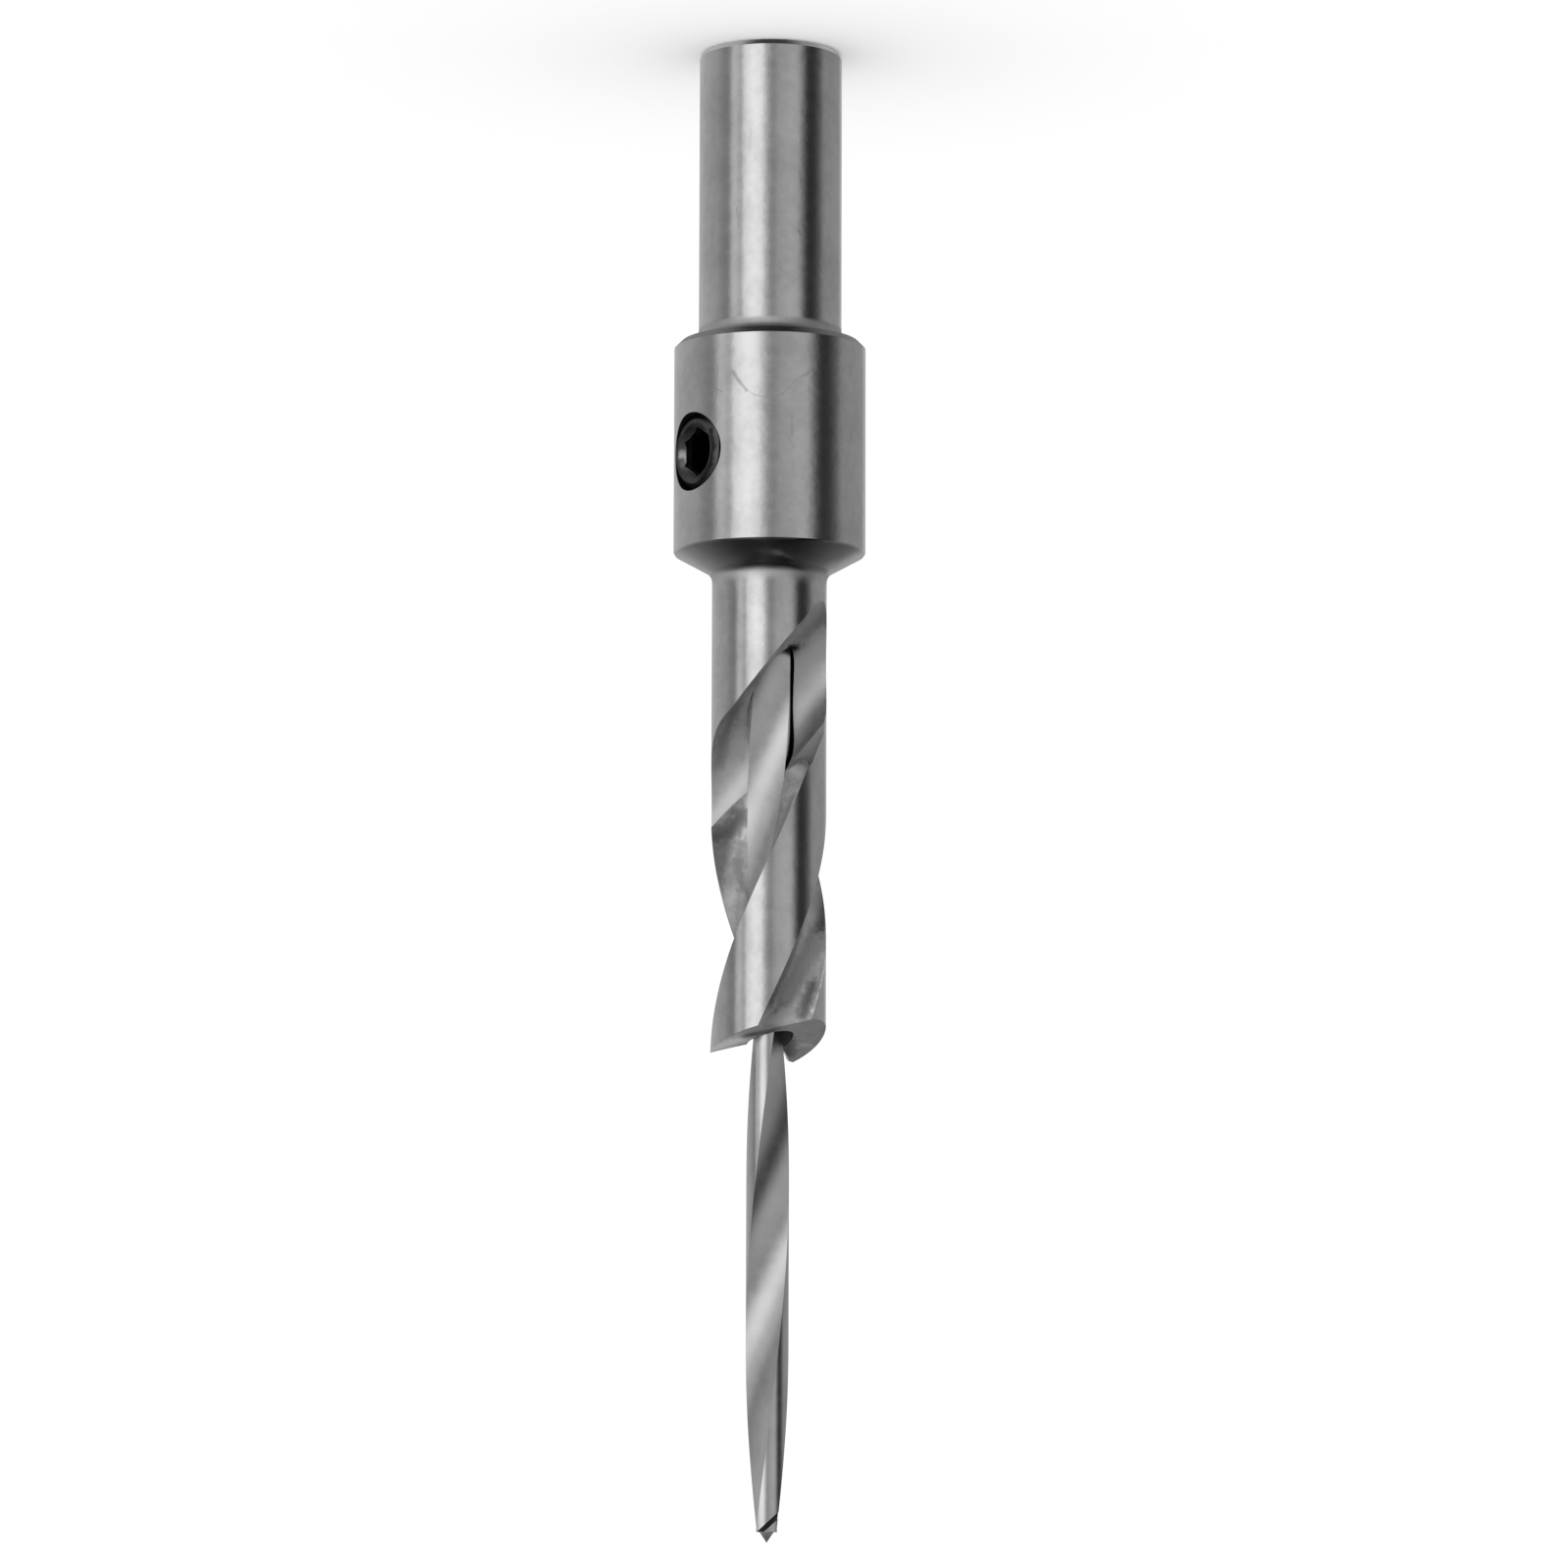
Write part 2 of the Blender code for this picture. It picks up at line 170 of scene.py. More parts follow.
hole_top = COLLAR_RADIUS + OVERSHOOT
screw_hole = plug("screw_hole", SCREW_HOLE_RADIUS, hole_top, 0, ROUND_STEPS)
screw_hole.data.transform(screw_seat)
hole_mouth = plug("hole_mouth", SCREW_HOLE_RADIUS, hole_top, HOLE_MOUTH_FLOOR, ROUND_STEPS)
hole_mouth.data.transform(screw_seat @ Matrix.Translation(HOLE_MOUTH_SHIFT))


# Flutes and end. Each flute is ground with a wheel that follows the helix. The wide one lays the
# bore open and runs out in an oblique slot, the narrow one is shallow, and two slanted grinds end the bar.

CUTTER_LEAD = 54.6 * MM
CUT_RADIUS = CUTTER_RADIUS + OVERSHOOT
END_SLOPE_SIDEWAYS = 0.24
END_SLOPE_FRONT = 0.21
END_SLOPE_BACK = 0.45
RAKE_ANGLE_AT_END = math.radians(-9.5)
WIDE_FLUTE_ANGLE = math.radians(112)
WIDE_FLUTE_WALL_RADIUS = 3.3 * MM
WIDE_FLUTE_FLOOR = 0.6 * MM
WIDE_FLUTE_INTO_SLOT = 1.5 * MM
SLOT_BELOW_END = 23.4 * MM
SLOT_FROM_RAKE = math.radians(74)
SLOT_TILT = math.radians(38.7)
SLOT_OFFSET = 2.05 * MM
SLOT_WIDTH = 6.7 * MM
SLOT_HALF_HEIGHT = 3.7 * MM
SLOT_PAST_AXIS = 0.5 * MM
SLOT_LENGTH = 23.0 * MM
SLOT_SHIFT = 3.5 * MM
SLOT_FLOOR_RADIUS = 2.94 * MM
SLOT_FLOOR_SHIFT = 0.36 * MM
SLOT_FLOOR_START = math.radians(-15)
SLOT_FLOOR_END = math.radians(141)
FRONT_LAND_ANGLE = math.radians(66)
NARROW_FLUTE_ANGLE = math.radians(57)
NARROW_FLUTE_DEPTH = 1.25 * MM
NARROW_FLUTE_LENGTH = 23.7 * MM
NARROW_FLUTE_WHEEL = 14.0 * MM
WHEEL_CLEARANCE = 0.3 * MM
RAKE_CORNER_DEPTH = -2.45
RAKE_CORNER_REACH = (-5.0, -1.2)
RAKE_CORNER_FALL = 0.135
HEEL_CORNER_DEPTH = 3.0
HEEL_CORNER_REACH = (0.8, 6.0)
HEEL_CORNER_FALL = 0.09
HELIX_STEP = math.radians(1.5)
WALL_POINTS = 48
RAKE_POINTS = 12


def loft(name, rings):
    """Join closed rings of points into one capped solid."""
    mesh = bpy.data.meshes.new(name)
    shape = bmesh.new()
    rows = [[shape.verts.new(point) for point in ring] for ring in rings]
    count = len(rows[0])
    for below, above in zip(rows, rows[1:]):
        for index in range(count):
            after = (index + 1) % count
            shape.faces.new((below[index], below[after], above[after], above[index]))
    shape.faces.new(rows[0][::-1])
    shape.faces.new(rows[-1])
    bmesh.ops.recalc_face_normals(shape, faces=shape.faces)
    bmesh.ops.triangulate(shape, faces=shape.faces)
    shape.to_mesh(mesh)
    shape.free()
    made = bpy.data.objects.new(name, mesh)
    bpy.context.scene.collection.objects.link(made)
    return made


def helix_sweep(name, section, lead, top, angle_at_top, length, overshoot):
    """Sweep a section of (outward, sideways) points down a right-hand helix from above top."""
    count = math.ceil((length + overshoot) / lead * math.tau / HELIX_STEP)
    rings = []
    for index in range(count + 1):
        height = top - length + (length + overshoot) * index / count
        angle = angle_at_top + math.tau * (height - top) / lead
        cosine = math.cos(angle)
        sine = math.sin(angle)
        ring = []
        for outward, sideways in section(height):
            ring.append((outward * cosine - sideways * sine, outward * sine + sideways * cosine, height))
        rings.append(ring)
    return loft(name, rings)


def arc_flute(radius, depth, width_angle, reach, lift=0):
    """A flute's arc that spans width_angle on a round bar, closed outside the bar."""
    edge_out = radius * math.cos(width_angle / 2)
    edge_side = radius * math.sin(width_angle / 2)
    rise = edge_out - radius + depth
    arc_radius = (rise ** 2 + edge_side ** 2) / (2 * rise)
    centre = radius - depth + arc_radius
    half_angle = math.atan2(edge_side, centre - edge_out)
    points = arc((centre, 0), arc_radius, math.pi - half_angle, math.pi + half_angle, WALL_POINTS)
    spread = edge_side * reach / radius
    points += [(reach, -spread), (reach, spread)]
    return [(outward + lift, sideways) for outward, sideways in points]


def wheel_lift(wheel, travel):
    """How far the rim of a wheel lies above its deepest point, travel away from it."""
    if travel <= 0:
        return 0
    return wheel - math.sqrt(wheel ** 2 - travel ** 2)


def wheel_travel(wheel, lift):
    """How far a wheel's rim travels before it lies that much above its deepest point."""
    return math.sqrt(wheel ** 2 - (wheel - lift) ** 2)


def wide_flute_section(height):
    """The rake face lies along the outward axis, and the heel wall is a round arc beside it."""
    heel = (CUTTER_RADIUS * math.cos(WIDE_FLUTE_ANGLE), CUTTER_RADIUS * math.sin(WIDE_FLUTE_ANGLE))
    foot = (WIDE_FLUTE_FLOOR, 0)
    chord = math.dist(heel, foot)
    offset = math.sqrt(WIDE_FLUTE_WALL_RADIUS ** 2 - (chord / 2) ** 2)
    centre = (
        (heel[0] + foot[0]) / 2 + offset * (heel[1] - foot[1]) / chord,
        (heel[1] + foot[1]) / 2 + offset * (foot[0] - heel[0]) / chord,
    )
    start = math.atan2(heel[1] - centre[1], heel[0] - centre[0])
    end = math.atan2(foot[1] - centre[1], foot[0] - centre[0]) + math.tau
    points = arc(centre, WIDE_FLUTE_WALL_RADIUS, start, end, WALL_POINTS)
    face = CUT_RADIUS - WIDE_FLUTE_FLOOR
    points += [(WIDE_FLUTE_FLOOR + face * step / RAKE_POINTS, 0) for step in range(1, RAKE_POINTS + 1)]
    points += [(CUT_RADIUS, CUT_RADIUS), (heel[0] * CUT_RADIUS / CUTTER_RADIUS, CUT_RADIUS)]
    return points


slot_height = CUTTER_END - SLOT_BELOW_END
slot_direction = (
    RAKE_ANGLE_AT_END + math.tau * (slot_height - CUTTER_END) / CUTTER_LEAD + SLOT_FROM_RAKE
)
slot_axis_out = SLOT_HALF_HEIGHT - SLOT_PAST_AXIS
slot_floor_centre = (SLOT_FLOOR_SHIFT, SLOT_HALF_HEIGHT - SLOT_FLOOR_RADIUS)
slot_section = arc(
    slot_floor_centre, SLOT_FLOOR_RADIUS, SLOT_FLOOR_START, SLOT_FLOOR_END, WALL_POINTS
)
slot_section += [
    (-SLOT_WIDTH / 2, 0),
    (-SLOT_WIDTH / 2, -SLOT_HALF_HEIGHT),
    (SLOT_WIDTH / 2, -SLOT_HALF_HEIGHT),
]
slot_ends = (SLOT_SHIFT - SLOT_LENGTH / 2, SLOT_SHIFT + SLOT_LENGTH / 2)
wheel_slot = loft("wheel_slot", [[(x, y, z) for x, y in slot_section] for z in slot_ends])
wheel_slot.data.transform(
    Matrix.Translation((
        slot_axis_out * math.cos(slot_direction) + SLOT_OFFSET * math.sin(slot_direction),
        slot_axis_out * math.sin(slot_direction) - SLOT_OFFSET * math.cos(slot_direction),
        slot_height,
    ))
    @ Matrix.Rotation(slot_direction + math.pi / 2, 4, "Z")
    @ Matrix.Rotation(SLOT_TILT, 4, "Y")
)

wide_flute = helix_sweep(
    "wide_flute",
    wide_flute_section,
    CUTTER_LEAD,
    CUTTER_END,
    RAKE_ANGLE_AT_END,
    SLOT_BELOW_END - WIDE_FLUTE_INTO_SLOT,
    CUT_TOP - CUTTER_END,
)

narrow_lift = NARROW_FLUTE_DEPTH + WHEEL_CLEARANCE
narrow_start = CUTTER_END - NARROW_FLUTE_LENGTH


def narrow_flute_section(height):
    """The narrow flute's arc, lifted out of the bar below its start."""
    lift = wheel_lift(NARROW_FLUTE_WHEEL, narrow_start - height)
    return arc_flute(CUTTER_RADIUS, NARROW_FLUTE_DEPTH, NARROW_FLUTE_ANGLE, CUT_RADIUS, lift)


narrow_flute = helix_sweep(
    "narrow_flute",
    narrow_flute_section,
    CUTTER_LEAD,
    CUTTER_END,
    RAKE_ANGLE_AT_END - FRONT_LAND_ANGLE - NARROW_FLUTE_ANGLE / 2,
    NARROW_FLUTE_LENGTH + wheel_travel(NARROW_FLUTE_WHEEL, narrow_lift),
    CUT_TOP - CUTTER_END,
)


def end_height(x, y):
    """Height of the two slanted grinds, which meet in a line through the axis."""
    slope = END_SLOPE_BACK if y > 0 else END_SLOPE_FRONT
    return CUTTER_END + END_SLOPE_SIDEWAYS * x + slope * y


end_rings = []
for side in (-CUT_RADIUS, CUT_RADIUS):
    ring = [(side, depth, end_height(side, depth)) for depth in (-CUT_RADIUS, 0, CUT_RADIUS)]
    ring += [(side, CUT_RADIUS, CUT_TOP + CUT_RADIUS), (side, -CUT_RADIUS, CUT_TOP + CUT_RADIUS)]
    end_rings.append(ring)
slanted_end = loft("slanted_end", end_rings)

# Dressed corners: (x, z) outlines in mm at a depth. The first rounds the rake face where it ends at the
# slot, and the second rounds the tip of the rear lobe.
RAKE_CORNER = [
    (-1.46, 50.69), (-1.8, 50.49), (-2.17, 50.36), (-2.47, 50.38), (-2.67, 50.59),
    (-2.77, 50.92), (-3.01, 50.65), (-3.34, 49.78), (-3.68, 48.91), (-4.15, 47.9),
    (-4.15, 46.43), (-1.46, 48.1),
]
HEEL_CORNER = [
    (-2.47, 70.72), (-2.1, 70.9), (-1.71, 70.96), (-1.42, 70.87), (-1.24, 70.7), (-1.08, 70.41),
    (-1.0, 69.99), (-0.43, 69.99), (-0.43, 71.7), (-3.01, 71.7), (-3.01, 70.44),
]


def corner_grind(name, outline, depth, reach, fall):
    """A cutter with an outline at a depth in mm, which runs through reach and falls as it goes back."""
    rings = []
    for end in reach:
        drop = (end - depth) * fall
        rings.append([(x * MM, end * MM, (z - drop) * MM) for x, z in outline])
    return loft(name, rings)


rake_corner = corner_grind(
    "rake_corner", RAKE_CORNER, RAKE_CORNER_DEPTH, RAKE_CORNER_REACH, RAKE_CORNER_FALL
)
heel_corner = corner_grind(
    "heel_corner", HEEL_CORNER, HEEL_CORNER_DEPTH, HEEL_CORNER_REACH, HEEL_CORNER_FALL
)


# Cutting the blank. The cuts are made one after another, and each surface then takes the smooth
# normals of the tool that made it, so that long reflections run across it without facets.

SMOOTH_ANGLE = math.radians(32)
TOWARDS_CENTRE = 0.08


def surface_of(source):
    """A search tree, corner normals and faces of a tool or blank, to read smooth normals from."""
    mesh = source.data
    mesh.shade_smooth()
    mesh.set_sharp_from_angle(angle=SMOOTH_ANGLE)
    points = [vertex.co.copy() for vertex in mesh.vertices]
    faces = [tuple(face.vertices) for face in mesh.polygons]
    normals = [corner.vector.copy() for corner in mesh.corner_normals]
    starts = [face.loop_start for face in mesh.polygons]
    return BVHTree.FromPolygons(points, faces), points, faces, normals, starts


def cut_smoothly(blank, tools, finishes):
    """Cut the tools from the blank. finishes are the materials of the blank's and each tool's surface."""
    sources = [blank] + tools
    surfaces = [surface_of(source) for source in sources]
    markers = [bpy.data.materials.new(f"surface_{number}") for number in range(len(sources))]
    for number, source in enumerate(sources):
        for marker in markers:
            source.data.materials.append(marker)
        for face in source.data.polygons:
            face.material_index = number
    for tool in tools:
        boolean = blank.modifiers.new(tool.name, "BOOLEAN")
        boolean.operation = "DIFFERENCE"
        boolean.solver = "MANIFOLD"
        boolean.object = tool
    bpy.context.view_layer.update()
    shape = blank.evaluated_get(bpy.context.evaluated_depsgraph_get())
    mesh = bpy.data.meshes.new_from_object(shape)
    blank.modifiers.clear()
    blank.data = mesh
    for tool in tools:
        bpy.data.objects.remove(tool)
    normals = [None] * len(mesh.loops)
    for face in mesh.polygons:
        number = face.material_index
        tree, points, faces, source_normals, starts = surfaces[number]
        sign = 1 if number == 0 else -1
        for loop in face.loop_indices:
            corner = mesh.vertices[mesh.loops[loop].vertex_index].co
            inside = corner.lerp(face.center, TOWARDS_CENTRE)
            touched, _, index, _ = tree.find_nearest(inside)
            around = [points[vertex] for vertex in faces[index]]
            weights = poly_3d_calc(around, touched)
            normal = Vector()
            for step, weight in enumerate(weights):
                normal += source_normals[starts[index] + step] * weight
            normals[loop] = (normal * sign).normalized()
    mesh.shade_smooth()
    mesh.normals_split_custom_set(normals)
    kept = list(dict.fromkeys(finishes))
    slots = [kept.index(finish) for finish in finishes]
    indices = [slots[face.material_index] for face in mesh.polygons]
    mesh.materials.clear()
    for finish in kept:
        mesh.materials.append(finish)
    mesh.polygons.foreach_set("material_index", indices)
    for marker in markers:
        bpy.data.materials.remove(marker)


# Steel finishes of the body. Round surfaces carry fine rings from the cylindrical grinder, and the
# flutes carry marks along the helix from the wheel. Both have faint stains and small handling marks,
# and painted shade and painted highlights at set places.

BLOTCH_SCALE = 0.22
GRAIN_SHARE = 0.4
DARKEST_MARK = 0.36
LIGHTEST_MARK = 0.60
SMOOTHEST = 0.8
ROUGHEST = 1.25
SCRATCH_TINT = 0.42
SCRATCH_ROUGHNESS = 0.4
RAGGED_SCALE = 2600.0
RAGGED_WIDTH = 2
HAIR = 0.01 * MM


def link(tree, output, socket):
    """Join a node's output to another node's input."""
    tree.links.new(output, socket)


def place(tree, kind, **values):
    """Add a node and set its properties and the default values of its named inputs."""
    node = tree.nodes.new(kind)
    for name, value in values.items():
        if hasattr(node, name):
            setattr(node, name, value)
        else:
            node.inputs[name.replace("_", " ")].default_value = value
    return node


def new_group(name, inputs, outputs):
    """A shader node group with named (socket type, name, default) inputs and outputs."""
    group = bpy.data.node_groups.new(name, "ShaderNodeTree")
    for kind, label, default in inputs:
        socket = group.interface.new_socket(label, in_out="INPUT", socket_type=kind)
        socket.default_value = default
    for kind, label in outputs:
        group.interface.new_socket(label, in_out="OUTPUT", socket_type=kind)
    return group, group.nodes.new("NodeGroupInput"), group.nodes.new("NodeGroupOutput")


# Group: lines and grain that grinding leaves, from coordinates that the material stretches
grind_group, grind_in, grind_out = new_group(
    "grinding_marks",
    [
        ("NodeSocketVector", "Line Coordinates", (0, 0, 0)),
        ("NodeSocketVector", "Grain Coordinates", (0, 0, 0)),
        ("NodeSocketFloat", "Grain Scale", 1.0),
    ],
    [("NodeSocketFloat", "Lines"), ("NodeSocketFloat", "Grain"), ("NodeSocketFloat", "Blotches")],
)
fine_lines = place(grind_group, "ShaderNodeTexNoise", Scale=1.0, Detail=4.0, Roughness=0.62)
grain = place(grind_group, "ShaderNodeTexNoise", Detail=3.0, Roughness=0.55)
blotches = place(grind_group, "ShaderNodeTexNoise", Detail=2.0, Roughness=0.5)
blotch_scale = place(grind_group, "ShaderNodeMath", operation="MULTIPLY")
blotch_scale.inputs[1].default_value = BLOTCH_SCALE
link(grind_group, grind_in.outputs["Line Coordinates"], fine_lines.inputs["Vector"])
link(grind_group, grind_in.outputs["Grain Coordinates"], grain.inputs["Vector"])
link(grind_group, grind_in.outputs["Grain Scale"], grain.inputs["Scale"])
link(grind_group, grind_in.outputs["Grain Coordinates"], blotches.inputs["Vector"])
link(grind_group, grind_in.outputs["Grain Scale"], blotch_scale.inputs[0])
link(grind_group, blotch_scale.outputs[0], blotches.inputs["Scale"])
link(grind_group, fine_lines.outputs["Fac"], grind_out.inputs["Lines"])
link(grind_group, grain.outputs["Fac"], grind_out.inputs["Grain"])
link(grind_group, blotches.outputs["Fac"], grind_out.inputs["Blotches"])


# Group: one stroke, from its start to its end, with a ragged edge, for a scratch and for a patch of
# painted light and shade
stroke_group, stroke_in, stroke_out = new_group(
    "stroke",
    [
        ("NodeSocketVector", "Position", (0, 0, 0)),
        ("NodeSocketVector", "Start", (0, 0, 0)),
        ("NodeSocketVector", "Run", (0, 0, 0)),
        ("NodeSocketFloat", "Width", 0.0002),
        ("NodeSocketFloat", "Strength", 1.0),
    ],
    [("NodeSocketFloat", "Mask")],
)
from_start = place(stroke_group, "ShaderNodeVectorMath", operation="SUBTRACT")
along_run = place(stroke_group, "ShaderNodeVectorMath", operation="DOT_PRODUCT")
run_square = place(stroke_group, "ShaderNodeVectorMath", operation="DOT_PRODUCT")
run_share = place(stroke_group, "ShaderNodeMath", operation="DIVIDE", use_clamp=True)
nearest = place(stroke_group, "ShaderNodeVectorMath", operation="SCALE")
stroke_gap = place(stroke_group, "ShaderNodeVectorMath", operation="DISTANCE")
ragged = place(stroke_group, "ShaderNodeTexNoise", Scale=RAGGED_SCALE, Detail=2.0)
ragged_width = place(stroke_group, "ShaderNodeMath", operation="MULTIPLY")
stroke_edge = place(
    stroke_group, "ShaderNodeMapRange", interpolation_type="SMOOTHSTEP", From_Min=0, To_Min=1, To_Max=0
)
stroke_amount = place(stroke_group, "ShaderNodeMath", operation="MULTIPLY")
link(stroke_group, stroke_in.outputs["Position"], from_start.inputs[0])
link(stroke_group, stroke_in.outputs["Start"], from_start.inputs[1])
link(stroke_group, from_start.outputs["Vector"], along_run.inputs[0])
link(stroke_group, stroke_in.outputs["Run"], along_run.inputs[1])
link(stroke_group, stroke_in.outputs["Run"], run_square.inputs[0])
link(stroke_group, stroke_in.outputs["Run"], run_square.inputs[1])
link(stroke_group, along_run.outputs["Value"], run_share.inputs[0])
link(stroke_group, run_square.outputs["Value"], run_share.inputs[1])
link(stroke_group, stroke_in.outputs["Run"], nearest.inputs[0])
link(stroke_group, run_share.outputs[0], nearest.inputs["Scale"])
link(stroke_group, from_start.outputs["Vector"], stroke_gap.inputs[0])
link(stroke_group, nearest.outputs["Vector"], stroke_gap.inputs[1])
link(stroke_group, stroke_in.outputs["Position"], ragged.inputs["Vector"])
link(stroke_group, ragged.outputs["Fac"], ragged_width.inputs[0])
link(stroke_group, stroke_in.outputs["Width"], ragged_width.inputs[1])
link(stroke_group, stroke_gap.outputs["Value"], stroke_edge.inputs["Value"])
link(stroke_group, ragged_width.outputs[0], stroke_edge.inputs["From Max"])
link(stroke_group, stroke_edge.outputs["Result"], stroke_amount.inputs[0])
link(stroke_group, stroke_in.outputs["Strength"], stroke_amount.inputs[1])
link(stroke_group, stroke_amount.outputs[0], stroke_out.inputs["Mask"])


def stroke_mask(tree, position, scratches):
    """The strongest of several strokes, which are scratches and patches of painted light and shade, each a
    (start, end, width, strength) in metres.
    """
    strongest = None
    for start, end, width, strength in scratches:
        stroke = tree.nodes.new("ShaderNodeGroup")
        stroke.node_tree = stroke_group
        stroke.inputs["Start"].default_value = start
        stroke.inputs["Run"].default_value = Vector(end) - Vector(start)
        stroke.inputs["Width"].default_value = width * RAGGED_WIDTH
        stroke.inputs["Strength"].default_value = strength
        link(tree, position, stroke.inputs["Position"])
        if strongest is None:
            strongest = stroke.outputs["Mask"]
            continue
        larger = place(tree, "ShaderNodeMath", operation="MAXIMUM")
        link(tree, strongest, larger.inputs[0])
        link(tree, stroke.outputs["Mask"], larger.inputs[1])
        strongest = larger.outputs[0]
    return strongest


def on_round(radius, points, width, strength):
    """Scratches that join (degrees about Z, height in mm) points on a round surface."""
    places = []
    for degrees, height in points:
        angle = math.radians(degrees)
        places.append((radius * math.cos(angle), radius * math.sin(angle), height * MM))
    return [(start, end, width, strength) for start, end in zip(places, places[1:])]


def painted_patch(points, width, strength):
    """Patches of painted highlight and painted shade, of a width in mm, that join (x, y, z) points in mm.
    """
    places = [Vector(point) * MM for point in points]
    return [(start, end, width * MM, strength) for start, end in zip(places, places[1:])]


def line_coordinates(tree, place_of, helix_lead, line_turn):
    """Object coordinates that follow a helix of a lead, or are turned back by a rotation."""
    if helix_lead:
        split = tree.nodes.new("ShaderNodeSeparateXYZ")
        turn = place(tree, "ShaderNodeMath", operation="MULTIPLY")
        turn.inputs[1].default_value = -math.tau / helix_lead
        untwist = place(tree, "ShaderNodeVectorRotate", rotation_type="Z_AXIS")
        link(tree, place_of, split.inputs["Vector"])
        link(tree, split.outputs["Z"], turn.inputs[0])
        link(tree, place_of, untwist.inputs["Vector"])
        link(tree, turn.outputs[0], untwist.inputs["Angle"])
        return untwist.outputs["Vector"]
    if line_turn:
        untilt = place(tree, "ShaderNodeMapping", vector_type="TEXTURE", Rotation=line_turn)
        link(tree, place_of, untilt.inputs["Vector"])
        return untilt.outputs["Vector"]
    return place_of


def ring_mask(tree, place_of, start, full, fading, end):
    """A ring about Z that comes in from start to full and goes out from fading to end."""
    height = tree.nodes.new("ShaderNodeSeparateXYZ")
    rise = place(
        tree, "ShaderNodeMapRange", interpolation_type="SMOOTHSTEP", From_Min=start, From_Max=full
    )
    fall = place(
        tree, "ShaderNodeMapRange", interpolation_type="SMOOTHSTEP", From_Min=end, From_Max=fading
    )
    within = place(tree, "ShaderNodeMath", operation="MULTIPLY")
    link(tree, place_of, height.inputs["Vector"])
    link(tree, height.outputs["Z"], rise.inputs["Value"])
    link(tree, height.outputs["Z"], fall.inputs["Value"])
    link(tree, rise.outputs["Result"], within.inputs[0])
    link(tree, fall.outputs["Result"], within.inputs[1])
    return within.outputs[0]


